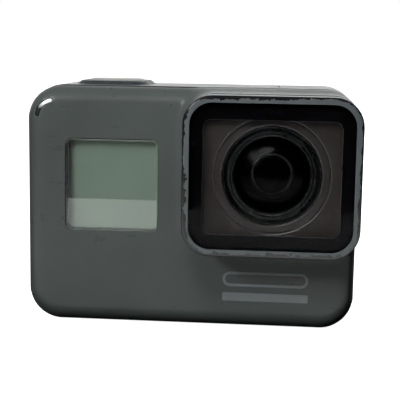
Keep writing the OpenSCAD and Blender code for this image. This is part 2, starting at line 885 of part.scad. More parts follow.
module battery_door_latch() {
    face = 0.25;
    color([0.3, 0.33, 0.33]) {
        plate_z(blatch_x, bdoor_mid_y, blatch_w, blatch_d, latch_r, face, latch_pocket);
        for (i = [-1:1])
            plate_z(blatch_x + rib_pitch * i, bdoor_mid_y, rib_w, blatch_d - 2 * latch_r, 0.2,
                    0.08, face);
    }
}

module battery_door_hinge_pin() {
    color([0.6, 0.6, 0.62])
        rod_y(bdoor_hinge_x, bdoor_hinge_z, pin_r, bdoor_y0 - 0.3, bdoor_y1 + pin_end);
}

// ---- port door -----------------------------------------------------------------------------

module port_door() {
    color([0.22, 0.25, 0.25]) difference() {
        union() {
            plate_x((sdoor_y0 + sdoor_hinge_y) / 2, sdoor_mid_z, sdoor_hinge_y - sdoor_y0,
                    sdoor_z1 - sdoor_z0, 0.3, sdoor_outer - door_t, sdoor_outer);
            rod_z(sdoor_hinge_x, sdoor_hinge_y, knuckle_r, sdoor_z0, sdoor_z1);
        }
        rod_z(sdoor_hinge_x, sdoor_hinge_y, pin_r + pin_gap, sdoor_z0 - past, sdoor_z1 + past);
        plate_x(slatch_y, slatch_z + slatch_travel / 2, slatch_w + 2 * door_gap,
                slatch_h + slatch_travel + 2 * door_gap, latch_r + fit,
                sdoor_outer - latch_pocket, sdoor_outer + past);
    }
}

module port_door_seal() {
    inner = sdoor_outer - door_t;
    seal_line = 0.7;
    color([0.5, 0.12, 0.08]) difference() {
        plate_x(panel_y, panel_z, 8, 20.4, 1.8, inner - 0.3, inner);
        plate_x(panel_y, panel_z, 8 - 2 * seal_line, 20.4 - 2 * seal_line, 1.8 - seal_line,
                inner - past, inner + past);
    }
}

module port_door_latch() {
    face = sdoor_outer - 0.2;
    color([0.3, 0.33, 0.33]) {
        plate_x(slatch_y, slatch_z, slatch_w, slatch_h, latch_r, face - 0.75, face);
        for (i = [-1:1])
            plate_x(slatch_y, slatch_z + rib_pitch * i, slatch_w - 2 * latch_r, rib_w, 0.2,
                    face, sdoor_outer);
    }
}

module port_door_hinge_pin() {
    color([0.6, 0.6, 0.62])
        rod_z(sdoor_hinge_x, sdoor_hinge_y, pin_r, sdoor_z0 - pin_end, sdoor_z1 + pin_end);
}

// ---- lens cover ----------------------------------------------------------------------------

module lens_cover_frame() {
    color([0.3, 0.34, 0.34]) difference() {
        union() {
            plate_y(lens_x, lens_z, cover_w, cover_h, cover_r, y_cover + rim_round, y_cover_back);
            plate_y(lens_x, lens_z, cover_w - rim_round, cover_h - rim_round,
                    cover_r - rim_round / 2, y_cover, y_cover + rim_round + eps);
        }
        plate_y(lens_x, lens_z, cover_w - 2 * rim_t, cover_h - 2 * rim_t, cover_r - rim_t,
                y_cover - past, y_cover_back - lip);
        lens_rod(cover_seal_r + fit, y_cover, y_boss + past);
    }
}

module lens_cover_glass() {
    color([0.1, 0.1, 0.1, 0.3])
        plate_y(lens_x, lens_z, pane_w, pane_h, pane_r, y_cover + pane_sink, pane_back);
}

module lens_cover_mask() {
    color([0.01, 0.01, 0.01]) difference() {
        plate_y(lens_x, lens_z, pane_w, pane_h, pane_r, pane_back, print_back);
        plate_y(lens_x, lens_z - opening_down, opening_w, opening_h, 1.4, y_cover, print_back + past);
    }
}

module lens_cover_plate() {
    color([0.2, 0.18, 0.17]) difference() {
        plate_y(lens_x, lens_z, pane_w, pane_h, pane_r, plate_front, y_cover_back - lip);
        lens_rod(collar_r + fit, y_cover, y_boss + past);
    }
}

module lens_cover_seal() {
    color([0.06, 0.06, 0.06])
        lens_ring(cover_seal_r, collar_r + fit, y_cover_back - lip + 0.05, y_cover_back);
}

// ---- choose what to draw -------------------------------------------------------------------

front_housing();
rear_housing();
housing_seal();
badge_inlay();
front_status_light();
rear_status_light();
status_window();
status_window_gasket();
status_screen();
status_screen_board();
lens_collar();
lens_barrel();
lens_retaining_ring();
front_lens_element();
inner_lens_element();
lens_aperture_ring();
lens_mount();
image_sensor();
sensor_board();
main_board();
processor_shield();
heat_spreader();
inner_chassis();
battery();
battery_pull_tab();
battery_contacts();
memory_card_slot();
memory_card();
usb_port();
hdmi_port();
port_panel();
display_glass();
display_gasket();
display_panel();
display_cable();
shutter_bezel();
shutter_switch();
mode_switch();
microphones();
speaker();
speaker_grille();
antenna_strip();
board_screws();
battery_door_hinge_pin();
port_door_hinge_pin();
shutter_button();
mode_button();
battery_door();
battery_door_seal();
battery_door_latch();
port_door();
port_door_seal();
port_door_latch();
lens_cover_seal();
lens_cover_frame();
lens_cover_glass();
lens_cover_mask();
lens_cover_plate();
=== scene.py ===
"""The looks of the compact action camera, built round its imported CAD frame.

Lengths inside this script are millimetres in the row frame (+X right when facing the lens,
-Y the way the lens looks, +Z up) until a mesh is made, which scales them to metres.
"""

import json
import math

import bmesh
import bpy
import numpy as np
from mathutils import Matrix, Vector


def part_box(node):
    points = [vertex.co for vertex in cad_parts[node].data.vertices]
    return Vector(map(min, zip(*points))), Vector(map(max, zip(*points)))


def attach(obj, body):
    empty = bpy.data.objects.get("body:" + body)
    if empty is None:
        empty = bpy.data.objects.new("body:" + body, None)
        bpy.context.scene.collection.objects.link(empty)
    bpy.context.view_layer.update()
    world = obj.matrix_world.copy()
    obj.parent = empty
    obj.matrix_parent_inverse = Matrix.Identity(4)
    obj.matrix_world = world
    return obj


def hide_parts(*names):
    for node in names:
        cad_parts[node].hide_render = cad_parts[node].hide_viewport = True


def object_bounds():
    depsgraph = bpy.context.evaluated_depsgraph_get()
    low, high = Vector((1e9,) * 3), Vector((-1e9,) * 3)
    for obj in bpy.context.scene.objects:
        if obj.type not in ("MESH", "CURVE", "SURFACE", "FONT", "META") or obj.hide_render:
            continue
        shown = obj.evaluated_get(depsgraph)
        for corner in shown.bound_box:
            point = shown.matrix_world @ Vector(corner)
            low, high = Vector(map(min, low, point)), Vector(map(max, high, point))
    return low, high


MM = 0.001
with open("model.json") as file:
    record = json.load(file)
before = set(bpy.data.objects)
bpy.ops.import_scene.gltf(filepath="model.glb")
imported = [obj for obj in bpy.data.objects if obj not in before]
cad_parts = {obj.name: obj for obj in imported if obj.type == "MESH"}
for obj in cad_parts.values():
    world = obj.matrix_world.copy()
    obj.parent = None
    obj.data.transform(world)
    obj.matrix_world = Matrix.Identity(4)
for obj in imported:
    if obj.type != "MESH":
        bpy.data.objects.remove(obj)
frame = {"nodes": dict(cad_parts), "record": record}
cad_low, cad_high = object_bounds()


# ---- places read from the frame ------------------------------------------------------------


def box_mm(node):
    """A CAD node's lowest and highest corners, in millimetres."""
    low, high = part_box(node)
    return np.array(low) / MM, np.array(high) / MM


front_low, front_high = box_mm("front_housing")
rear_low, rear_high = box_mm("rear_housing")
window_low, window_high = box_mm("status_window")
cover_low, cover_high = box_mm("lens_cover_frame")
glass_low, glass_high = box_mm("lens_cover_glass")
plate_low, plate_high = box_mm("lens_cover_plate")
mask_low, mask_high = box_mm("lens_cover_mask")
collar_low, collar_high = box_mm("lens_collar")
barrel_low, barrel_high = box_mm("lens_barrel")
retainer_low, retainer_high = box_mm("lens_retaining_ring")
display_low, display_high = box_mm("display_glass")
button_low, button_high = box_mm("shutter_button")
bezel_low, bezel_high = box_mm("shutter_bezel")
mode_low, mode_high = box_mm("mode_button")
bdoor_low, bdoor_high = box_mm("battery_door")
pdoor_low, pdoor_high = box_mm("port_door")
bpin_low, bpin_high = box_mm("battery_door_hinge_pin")
ppin_low, ppin_high = box_mm("port_door_hinge_pin")
blatch_low, blatch_high = box_mm("battery_door_latch")
platch_low, platch_high = box_mm("port_door_latch")
badge_low, badge_high = box_mm("badge_inlay")
grille_low, grille_high = box_mm("speaker_grille")

BODY_W = rear_high[0] - rear_low[0]
BODY_H = rear_high[2] - rear_low[2]
BODY_R = 6.4  # radius of the body's corners, seen from the front
EDGE_R = 3.2  # radius that rounds the front and rear edges
WALL = 1.5
REAR_WALL = 1.75
Y_FRONT = window_low[1] - 0.1  # front face of the body
Y_REAR = rear_high[1]
Y_BOSS = front_low[1]  # front of the lens boss
FRONT_END = front_high[1]  # where the front shell stops at the parting line
REAR_START = rear_low[1]
LENS_X = (cover_low[0] + cover_high[0]) / 2
LENS_Z = (cover_low[2] + cover_high[2]) / 2
COVER_H = cover_high[2] - cover_low[2]
COVER_R = 5.2
COVER_WALL = glass_low[0] - cover_low[0] - 0.02
GLASS_R = COVER_R - COVER_WALL - 0.02
BOSS_H = COVER_H + 0.3
BOSS_R = COVER_R + 0.2
BOSS_FILLET = 2.4  # where the boss grows out of the front face
GAP = 0.15  # round the doors and buttons
PANE_GAP = 0.1  # round the front window and the rear display
DISPLAY_R = 3.0
MICROPHONE_X = 15.8  # middle of the slot in the top, over the microphones
DOOR_R = 0.35  # corners of the two door openings
BATTERY_LATCH_TRAVEL, PORT_LATCH_TRAVEL = 1.4, 1.2
BUTTON_R = 3.3  # corners of the shutter button's flange
BUTTON_HOLE_R = 2.75
FLANGE = 0.7  # how far the flange reaches round the button
WINDOW_W, WINDOW_H = 24.4, 20.4  # clear window in the cover's black print
WINDOW_DOWN = 0.25  # how far its middle lies below the lens axis
WINDOW_R = 1.4
WINDOW_BEVEL = 0.1
COVER_HOLE_R = 12.7  # round hole in the cover's back wall
REVEAL_W = 2.4  # the shallow step in front of the parting line
REVEAL_DEPTH = 0.3
DOME_R = 10.5  # curve of the front glass's outer face
HOLLOW_R, HOLLOW_DEPTH = 6.2, 1.5  # the hollow in its back
BARREL_BORE, BARREL_THROAT, BARREL_FOOT = 6.9, 6.02, 7.58  # radii inside and behind the barrel
RETAINER_BORE = 7.1
IRIS_R = 3.78
LIP_R = 3.55  # the polished lip in front of the iris
LIGHT_IN, LIGHT_DOWN = 5.3, 5.9  # centres of the status lights' arcs, from the body's nearest edges
LIGHT_R, LIGHT_HALF = 3.1, 0.46  # their radius and half their width


# ---- signed distances, in millimetres, negative inside -------------------------------------


def rounded(u, v, low, high, r):
    """Distance to a rounded rectangle from its low to its high corner."""
    qx = abs(u - (low[0] + high[0]) / 2) - ((high[0] - low[0]) / 2 - r)
    qy = abs(v - (low[1] + high[1]) / 2) - ((high[1] - low[1]) / 2 - r)
    return np.hypot(np.maximum(qx, 0), np.maximum(qy, 0)) + np.minimum(np.maximum(qx, qy), 0) - r


def sides(low, high, axes, grow=0.0):
    """A box's low and high corners along two of its axes, moved outwards by grow."""
    a, b = ("xyz".index(axis) for axis in axes)
    return (low[a] - grow, low[b] - grow), (high[a] + grow, high[b] + grow)


def between(t, t0, t1):
    """Distance to the slab from t0 to t1."""
    return abs(t - (t0 + t1) / 2) - (t1 - t0) / 2


def both(a, b, r=0.0):
    """Where a and b overlap, with the edge between them rounded to radius r."""
    if r == 0:
        return np.maximum(a, b)
    inner = np.minimum(-r, np.maximum(a, b))
    return inner + np.hypot(np.maximum(a + r, 0), np.maximum(b + r, 0))


def either(a, b, r=0.0):
    """a and b together, with the inside corner between them filleted to radius r."""
    return -both(-a, -b, r)


def without(a, b, r=0.0):
    """a with b cut out of it, and the edge of the cut rounded to radius r."""
    return both(a, -b, r)


def body_outline(x, z, grow=0.0):
    """The body's outline, seen from the front."""
    half = BODY_W / 2 + grow
    return rounded(x, z, (-half, -grow), (half, BODY_H + grow), BODY_R + grow)


def body(x, y, z):
    """The whole body without its lens boss."""
    return both(body_outline(x, z), between(y, Y_FRONT, Y_REAR), EDGE_R)


def cavity(x, y, z):
    """The hollow inside both shells."""
    return both(body_outline(x, z, -WALL), between(y, Y_FRONT + WALL, Y_REAR - REAR_WALL))


def corner_slot(x, z, cx, cz, a0, a1, r, half):
    """A curved slot of radius r about (cx, cz) from angle a0 to a1 in degrees, with round ends."""
    middle = math.radians((a0 + a1) / 2)
    spread = math.radians((a1 - a0) / 2)
    u = (x - cx) * math.cos(middle) + (z - cz) * math.sin(middle)
    v = abs(-(x - cx) * math.sin(middle) + (z - cz) * math.cos(middle))
    end = (r * math.cos(spread), r * math.sin(spread))
    on_arc = u * math.sin(spread) - v * math.cos(spread) > 0
    return np.where(on_arc, abs(np.hypot(u, v) - r), np.hypot(u - end[0], v - end[1])) - half


def front_shell(x, y, z):
    """The front shell with its lens boss, window, status light slot and lens hole."""
    boss_low = (cover_low[0], LENS_Z - BOSS_H / 2)
    boss_high = (cover_high[0], LENS_Z + BOSS_H / 2)
    boss = both(rounded(x, z, boss_low, boss_high, BOSS_R), between(y, Y_BOSS, FRONT_END + 2), 0.35)
    solid = either(body(x, y, z), boss, BOSS_FILLET)
    solid = both(solid, body_outline(x, z))
    solid = both(solid, y - FRONT_END, 0.12)
    reveal = either(body_outline(x, z, -REVEAL_DEPTH), y - (FRONT_END - REVEAL_W), 0.25)
    solid = both(solid, reveal)
    solid = without(solid, cavity(x, y, z))
    wall = 2
    inner_low = (boss_low[0] + wall, boss_low[1] + wall)
    hollow = rounded(x, z, inner_low, (boss_high[0] - wall, boss_high[1] - wall), BOSS_R - wall)
    solid = without(solid, both(hollow, between(y, Y_BOSS + WALL, Y_FRONT + 3)))
    hole = np.hypot(x - LENS_X, z - LENS_Z) - (barrel_high[0] - LENS_X + 0.15)
    solid = without(solid, hole, 0.1)
    window = rounded(x, z, *sides(window_low, window_high, "xz", PANE_GAP), 1.35)
    solid = without(solid, both(window, y - (Y_FRONT + WALL + 1)), 0.22)
    slot = corner_slot(x, z, LIGHT_IN - BODY_W / 2, BODY_H - LIGHT_DOWN, 100, 170, LIGHT_R, LIGHT_HALF)
    return without(solid, both(slot, y - (Y_FRONT + 2)), 0.1)


def rear_shell(x, y, z):
    """The rear shell with its display recess, button holes, door openings and slots."""
    solid = both(body(x, y, z), REAR_START - y, 0.12)
    solid = without(solid, cavity(x, y, z))
    through = WALL + 1
    side = BODY_W / 2
    battery_hole = rounded(x, y, *sides(bdoor_low, bdoor_high, "xy", GAP), DOOR_R)
    solid = without(solid, both(battery_hole, z - through), 0.12)
    port_hole = rounded(y, z, *sides(pdoor_low, pdoor_high, "yz", GAP), DOOR_R)
    solid = without(solid, both(port_hole, side - through - x), 0.12)
    block = both(
        rounded(y, z, (bdoor_high[1] + GAP, 0.6), (bdoor_high[1] + 1.6, 2.6), 0.2),
        between(x, bpin_low[0] - 0.8, bpin_high[0] + 1.4),
    )
    ear = rounded(x, y, (side - 2.6, ppin_low[1] - 0.8), (side - 0.9, ppin_high[1] + 0.5), 0.2)
    for z0 in (pdoor_low[2] - GAP - WALL, pdoor_high[2] + GAP):
        block = np.minimum(block, both(ear, between(z, z0, z0 + WALL)))
    solid = np.minimum(solid, block)
    ledge = rounded(x, z, *sides(display_low, display_high, "xz", PANE_GAP), DISPLAY_R + PANE_GAP)
    solid = without(solid, both(ledge, Y_REAR - 1 - y), 0.2)
    opening = rounded(x, z, *sides(display_low, display_high, "xz", -2), 1.6)
    solid = without(solid, both(opening, Y_REAR - 3 - y))
    hole = rounded(x, y, *sides(button_low, button_high, "xy", -0.55), BUTTON_HOLE_R)
    solid = without(solid, both(hole, BODY_H - through - z))
    hole = rounded(y, z, *sides(mode_low, mode_high, "yz", -0.45), 2.5)
    solid = without(solid, both(hole, x + side - through), 0.15)
    slot = corner_slot(x, z, side - LIGHT_IN, LIGHT_DOWN, 280, 350, LIGHT_R, LIGHT_HALF)
    solid = without(solid, both(slot, Y_REAR - 2 - y), 0.1)
    hole = rounded(y, z, *sides(grille_low, grille_high, "yz", 0.05), 1)
    solid = without(solid, both(hole, x + side - through), 0.12)
    hole = rounded(x, y, (MICROPHONE_X - 0.2, 4), (MICROPHONE_X + 0.2, 8), 0.19)
    return without(solid, both(hole, BODY_H - through - z), 0.1)


def latch_recess(u, v, low, high, travel_u, travel_v):
    """The recess that a door latch slides in."""
    far = (high[0] + GAP + travel_u, high[1] + GAP + travel_v)
    return rounded(u, v, (low[0] - GAP, low[1] - GAP), far, 0.8)


def battery_door(x, y, z):
    """The battery door's plate and hinge knuckle."""
    pin = (bpin_low + bpin_high) / 2
    outline = rounded(x, y, bdoor_low[:2], (pin[0], bdoor_high[1]), 0.3)
    plate = both(outline, between(z, 0.05, WALL + 0.05), 0.15)
    plate = both(plate, body(x, y, z), 0.15)
    recess = latch_recess(x, y, blatch_low[:2], blatch_high[:2], BATTERY_LATCH_TRAVEL, 0)
    plate = without(plate, both(recess, z - 1.05), 0.12)
    distance = np.hypot(x - pin[0], z - pin[2])
    knuckle = both(distance - (bdoor_high[0] - pin[0]), between(y, bdoor_low[1], bdoor_high[1]), 0.1)
    return without(np.minimum(plate, knuckle), distance - (bpin_high[0] - pin[0] + 0.05))


def port_door(x, y, z):
    """The port door's plate and hinge knuckle."""
    pin = (ppin_low + ppin_high) / 2
    outer = pdoor_high[0]
    outline = rounded(y, z, pdoor_low[1:], (pin[1], pdoor_high[2]), 0.3)
    plate = both(outline, between(x, outer - WALL, outer), 0.15)
    recess = latch_recess(y, z, platch_low[1:], platch_high[1:], 0, PORT_LATCH_TRAVEL)
    plate = without(plate, both(recess, (outer - 1) - x), 0.12)
    distance = np.hypot(x - pin[0], y - pin[1])
    knuckle = both(distance - (outer - pin[0]), between(z, pdoor_low[2], pdoor_high[2]), 0.1)
    return without(np.minimum(plate, knuckle), distance - (ppin_high[0] - pin[0] + 0.05))


def latch(u, v, w, low, high, ribs):
    """A latch plate from low to high in u, v and w, with three ribs of that height on its low w side."""
    top = low[2] + ribs
    plate = both(rounded(u, v, low[:2], high[:2], 0.7), between(w, top, high[2]), 0.12)
    middle = (low[0] + high[0]) / 2
    half = 0.25
    for at in (middle - 1.1, middle, middle + 1.1):
        rib = rounded(u, v, (at - half, low[1] + 0.7), (at + half, high[1] - 0.7), 0.2)
        plate = either(plate, both(rib, between(w, low[2], top + 0.2), 0.08), 0.08)
    return plate


# ---- meshes from signed distances ----------------------------------------------------------


def grid_lines(low, high, step, *fine):
    """Coordinates from low to high, closer together in each fine zone (start, end, step)."""
    lines = [low]
    while lines[-1] < high:
        here = lines[-1]
        steps = [s for a, b, s in fine if a - s <= here <= b]
        lines.append(here + min([step, *steps]))
    return np.array(lines)


def slope(sdf, p):
    """Unit normals of the distance field at points p."""
    h = 0.004
    out = np.empty_like(p)
    for a in range(3):
        step = np.zeros(3)
        step[a] = h
        out[:, a] = sdf(*(p + step).T) - sdf(*(p - step).T)
    return out / np.maximum(np.linalg.norm(out, axis=1, keepdims=True), 1e-9)


def crossings(sdf, axes, field, a):
    """Grid edges along axis a that the surface crosses: their cells, points and direction."""
    low_side = [slice(None)] * 3
    high_side = [slice(None)] * 3
    low_side[a] = slice(0, -1)
    high_side[a] = slice(1, None)
    low_side, high_side = tuple(low_side), tuple(high_side)
    crossed = (field[low_side] < 0) != (field[high_side] < 0)
    index = np.argwhere(crossed)
    start = np.stack([axes[b][index[:, b]] for b in range(3)], 1)
    length = axes[a][index[:, a] + 1] - axes[a][index[:, a]]
    near, far = np.zeros(len(index)), np.ones(len(index))
    inside_first = field[low_side][crossed] < 0
    point = start.copy()
    for _ in range(9):
        middle = (near + far) / 2
        point[:, a] = start[:, a] + middle * length
        same = (sdf(*point.T) < 0) == inside_first
        near = np.where(same, middle, near)
        far = np.where(same, far, middle)
    return index, point, inside_first


def contour(sdf, axes):
    """Dual contouring: a vertex in each crossed cell, where the surface's planes meet, keeps edges crisp."""
    shape = tuple(len(line) for line in axes)
    field = np.broadcast_to(sdf(*np.ix_(*axes)), shape)
    cells, points, quads_forward = [], [], []
    for a in range(3):
        index, point, forward = crossings(sdf, axes, field, a)
        b, c = (a + 1) % 3, (a + 2) % 3
        around = []
        for db, dc in ((-1, -1), (0, -1), (0, 0), (-1, 0)):
            cell = index.copy()
            cell[:, b] += db
            cell[:, c] += dc
            around.append(np.ravel_multi_index(cell.T, shape))
        cells.append(np.stack(around, 1))
        points.append(point)
        quads_forward.append(forward)
    cells, points, forward = np.concatenate(cells), np.concatenate(points), np.concatenate(quads_forward)
    normals = slope(sdf, points)
    used, corner = np.unique(cells, return_inverse=True)
    corner = corner.reshape(cells.shape)
    count = len(used)

    def gather(values):
        return sum(np.bincount(corner[:, k], values, count) for k in range(4))

    hits = gather(np.ones(len(points)))
    middle = np.stack([gather(points[:, a]) for a in range(3)], 1) / hits[:, None]
    offset = np.einsum("ij,ij->i", normals, points)
    matrix = np.empty((count, 3, 3))
    for a in range(3):
        for b in range(3):
            matrix[:, a, b] = gather(normals[:, a] * normals[:, b])
    right = np.stack([gather(normals[:, a] * offset) for a in range(3)], 1)
    right -= np.einsum("nab,nb->na", matrix, middle)
    values, vectors = np.linalg.eigh(matrix)
    keep = values > 0.06 * values[:, 2:3]
    inverse = np.where(keep, 1 / np.maximum(values, 1e-9), 0)
    shift = np.einsum("nab,nb,ncb,nc->na", vectors, inverse, vectors, right)
    place = middle + shift
    ijk = np.stack(np.unravel_index(used, shape), 1)
    low = np.stack([axes[a][ijk[:, a]] for a in range(3)], 1)
    high = np.stack([axes[a][np.minimum(ijk[:, a] + 1, shape[a] - 1)] for a in range(3)], 1)
    place = np.clip(place, low, high)
    smooth = keep.sum(1) == 1
    gentle = place[smooth]
    gentle -= sdf(*gentle.T)[:, None] * slope(sdf, gentle)
    place[smooth] = gentle
    quads = np.where(forward[:, None], corner, corner[:, ::-1])
    return place, quads


# ---- meshes from loops ---------------------------------------------------------------------


def rect_loop(low, high, r, side_points=1, corner_points=10):
    """Points round a rounded rectangle, anticlockwise, as (u, v), with side_points steps along each side."""
    r = max(r, 0.02)
    corners = []
    centres = (
        (high[0] - r, high[1] - r, 0),
        (low[0] + r, high[1] - r, 90),
        (low[0] + r, low[1] + r, 180),
        (high[0] - r, low[1] + r, 270),
    )
    for cu, cv, start in centres:
        turns = np.radians(start + np.linspace(0, 90, corner_points))
        corners.append(np.stack([cu + r * np.cos(turns), cv + r * np.sin(turns)], 1))
    out = []
    for k, corner in enumerate(corners):
        out.append(corner)
        nearby = corners[(k + 1) % 4][0]
        steps = np.arange(1, side_points)[:, None] / side_points
        out.append(corner[-1] + (nearby - corner[-1]) * steps)
    return np.concatenate(out)


def inset_loop(low, high, r, inset, side_points=1):
    """A rounded rectangle moved inwards by inset."""
    inner_low = (low[0] + inset, low[1] + inset)
    return rect_loop(inner_low, (high[0] - inset, high[1] - inset), r - inset, side_points)


def stack(low, high, r, spots, side_points=1):
    """Loops for skin, inset from one rounded rectangle: one for each (inset, depth) in spots."""
    return [(inset_loop(low, high, r, inset, side_points), depth) for inset, depth in spots]


def circle_like(loop, centre, radius):
    """A circle whose points lie at the same angles as a loop's."""
    angle = np.arctan2(loop[:, 1] - centre[1], loop[:, 0] - centre[0])
    return np.stack([centre[0] + radius * np.cos(angle), centre[1] + radius * np.sin(angle)], 1)


def quarter_turn(steps):
    """Angles from 0 to 90 degrees, in radians."""
    return [math.radians(90 * k / steps) for k in range(steps + 1)]


def wall_to_face(i0, t0, i1, t1, steps=5):
    """A quarter round that leaves a wall at (i0, t0) and meets a face at (i1, t1)."""
    return [(i1 + (i0 - i1) * math.cos(a), t0 + (t1 - t0) * math.sin(a)) for a in quarter_turn(steps)]


def face_to_wall(i0, t0, i1, t1, steps=5):
    """A quarter round that leaves a face at (i0, t0) and meets a wall at (i1, t1)."""
    return [(i0 + (i1 - i0) * math.sin(a), t1 + (t0 - t1) * math.cos(a)) for a in quarter_turn(steps)]


AXIS_ORDER = {"x": (1, 2, 0), "y": (0, 2, 1), "z": (0, 1, 2)}


def loops_to_points(loops, axis):
    """Stacks (loop, depth) pairs into points in the row frame."""
    first, second, third = AXIS_ORDER[axis]
    out = []
    for loop, depth in loops:
        p = np.empty((len(loop), 3))
        p[:, first], p[:, second], p[:, third] = loop[:, 0], loop[:, 1], depth
        out.append(p)
    return np.concatenate(out)


def skin(loops, axis, closed=False):
    """A surface through loops. An open stack is closed with a cap at each end."""
    n, m = len(loops[0][0]), len(loops)
    points = loops_to_points(loops, axis)
    faces = []
    for i in range(m if closed else m - 1):
        j = (i + 1) % m
        for k in range(n):
            q = (k + 1) % n
            faces.append((i * n + k, i * n + q, j * n + q, j * n + k))
    if not closed:
        faces.append(tuple(range(n))[::-1])
        faces.append(tuple((m - 1) * n + k for k in range(n)))
    return points, faces


def lathe(profile, closed=False, segments=96):
    """A profile of (radius, y) turned about the lens axis. A radius of 0 becomes one point."""
    points, faces, rings = [], [], []
    turns = [2 * math.pi * k / segments for k in range(segments)]
    for r, y in profile:
        if r < 1e-6:
            rings.append([len(points)] * segments)
            points.append((LENS_X, y, LENS_Z))
        else:
            rings.append(list(range(len(points), len(points) + segments)))
            points += [(LENS_X + r * math.cos(t), y, LENS_Z + r * math.sin(t)) for t in turns]
    count = len(rings)
    for i in range(count if closed else count - 1):
        a, b = rings[i], rings[(i + 1) % count]
        for k in range(segments):
            q = (k + 1) % segments
            face = list(dict.fromkeys((a[k], a[q], b[q], b[k])))
            if len(face) > 2:
                faces.append(tuple(face))
    return np.array(points), faces


def join(*parts):
    """Several (points, faces) as one."""
    points, faces, start = [], [], 0
    for p, f in parts:
        points.append(p)
        faces += [tuple(i + start for i in face) for face in f]
        start += len(p)
    return np.concatenate(points), faces


# ---- pieces --------------------------------------------------------------------------------


def add_object(name, data):
    obj = bpy.data.objects.new(name, data)
    bpy.context.scene.collection.objects.link(obj)
    return obj


BODIES = {node: body for body, nodes in frame["record"]["behaviour"]["bodies"].items() for node in nodes}
CREASE = math.radians(35)


def piece(name, shape, node, material):
    """Makes the visible piece that stands for a CAD node, from points in millimetres, on that node's body."""
    points, faces = shape
    points = np.clip(np.asarray(points) * MM, cad_low, cad_high)
    mesh = bpy.data.meshes.new(name)
    mesh.from_pydata(points.tolist(), [], [list(map(int, f)) for f in faces])
    mesh.validate()
    obj = add_object(name, mesh)
    outward(mesh)
    mesh.shade_smooth()
    mesh.set_sharp_from_angle(angle=CREASE)
    mesh.materials.append(material)
    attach(obj, BODIES[node])
    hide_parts(node)
    return obj


def repaint(obj, material, picks):
    """Gives another material to the faces that the function picks chooses."""
    obj.data.materials.append(material)
    for face in obj.data.polygons:
        if picks(face):
            face.material_index = len(obj.data.materials) - 1


def ring(inner, outer):
    """Picks the faces between two radii about the lens axis."""

    def picks(face):
        x, _, z = face.center / MM
        return inner < math.hypot(x - LENS_X, z - LENS_Z) < outer

    return picks


def outward(mesh):
    """Turns every face of a closed mesh to look outwards."""
    work = bmesh.new()
    work.from_mesh(mesh)
    bmesh.ops.recalc_face_normals(work, faces=work.faces)
    work.to_mesh(mesh)
    work.free()


# ---- materials -----------------------------------------------------------------------------


class Nodes:
    """Short ways to add nodes to a tree and join them."""

    def __init__(self, tree):
        self.tree = tree

    def node(self, kind, **settings):
        made = self.tree.nodes.new(kind)
        for key, value in settings.items():
            setattr(made, key, value)
        return made

    def link(self, source, target):
        self.tree.links.new(source, target)

    def ramp(self, source, low, high, out_low=0.0, out_high=1.0, shape="LINEAR"):
        """Maps a value from low..high to out_low..out_high, held at its ends."""
        made = self.node("ShaderNodeMapRange", clamp=True, interpolation_type=shape)
        for name, value in zip(("From Min", "From Max", "To Min", "To Max"), (low, high, out_low, out_high)):
            made.inputs[name].default_value = value
        self.link(source, made.inputs["Value"])
        return made.outputs["Result"]

    def math(self, operation, first, second):
        made = self.node("ShaderNodeMath", operation=operation)
        for socket, value in zip(made.inputs, (first, second)):
            if isinstance(value, (int, float)):
                socket.default_value = value
            else:
                self.link(value, socket)
        return made.outputs[0]

    def split(self, vector):
        """The outputs X, Y and Z of a vector."""
        made = self.node("ShaderNodeSeparateXYZ")
        self.link(vector, made.inputs[0])
        return made.outputs


class Finish(Nodes):
    """A procedural material whose patterns are laid out in the row frame."""

    def __init__(self, name, colour, roughness, metallic=0.0, **sockets):
        self.material = bpy.data.materials.new(name)
        self.material.use_nodes = True
        super().__init__(self.material.node_tree)
        self.shader = self.tree.nodes["Principled BSDF"]
        self.shader.inputs["Base Color"].default_value = (*colour, 1)
        self.shader.inputs["Roughness"].default_value = roughness
        self.shader.inputs["Metallic"].default_value = metallic
        for socket, value in sockets.items():
            self.shader.inputs[socket.replace("_", " ")].default_value = value
        self.place = self.node("ShaderNodeTexCoord").outputs["Object"]
        self.height = None

    def noise(self, scale, detail=3.0, rough=0.55, stretch=None):
        """Noise of so many features per metre."""
        source = self.place
        if stretch:
            mapping = self.node("ShaderNodeMapping")
            mapping.inputs["Scale"].default_value = stretch
            self.link(self.place, mapping.inputs["Vector"])
            source = mapping.outputs["Vector"]
        made = self.node("ShaderNodeTexNoise")
        for name, value in (("Scale", scale), ("Detail", detail), ("Roughness", rough)):
            made.inputs[name].default_value = value
        self.link(source, made.inputs["Vector"])
        return made.outputs["Fac"]

    def cloud(self, scale, detail, out_low=0.0, out_high=1.0):
        """Noise spread from out_low to out_high."""
        return self.ramp(self.noise(scale, detail), 0.3, 0.7, out_low, out_high)

    def mix(self, factor, first, second):
        """Blends two colours, each a tuple or a socket."""
        made = self.node("ShaderNodeMix", data_type="RGBA")
        self.link(factor, made.inputs[0])
        for socket, value in ((made.inputs[6], first), (made.inputs[7], second)):
            if isinstance(value, tuple):
                socket.default_value = (*value, 1)
            else:
                self.link(value, socket)
        return made.outputs[2]

    def colour(self, source):
        self.link(source, self.shader.inputs["Base Color"])

    def rough(self, source):
        self.link(source, self.shader.inputs["Roughness"])

    def bump(self, source, distance, strength=1.0):
        """Adds relief of so many metres on top of what is there."""
        made = self.node("ShaderNodeBump")
        made.inputs["Distance"].default_value = distance
        made.inputs["Strength"].default_value = strength
        self.link(source, made.inputs["Height"])
        if self.height:
            self.link(self.height, made.inputs["Normal"])
        self.height = made.outputs["Normal"]
        self.link(self.height, self.shader.inputs["Normal"])


def shade(colour, amount):
    """A colour made darker or lighter."""
    return tuple(c * amount for c in colour)


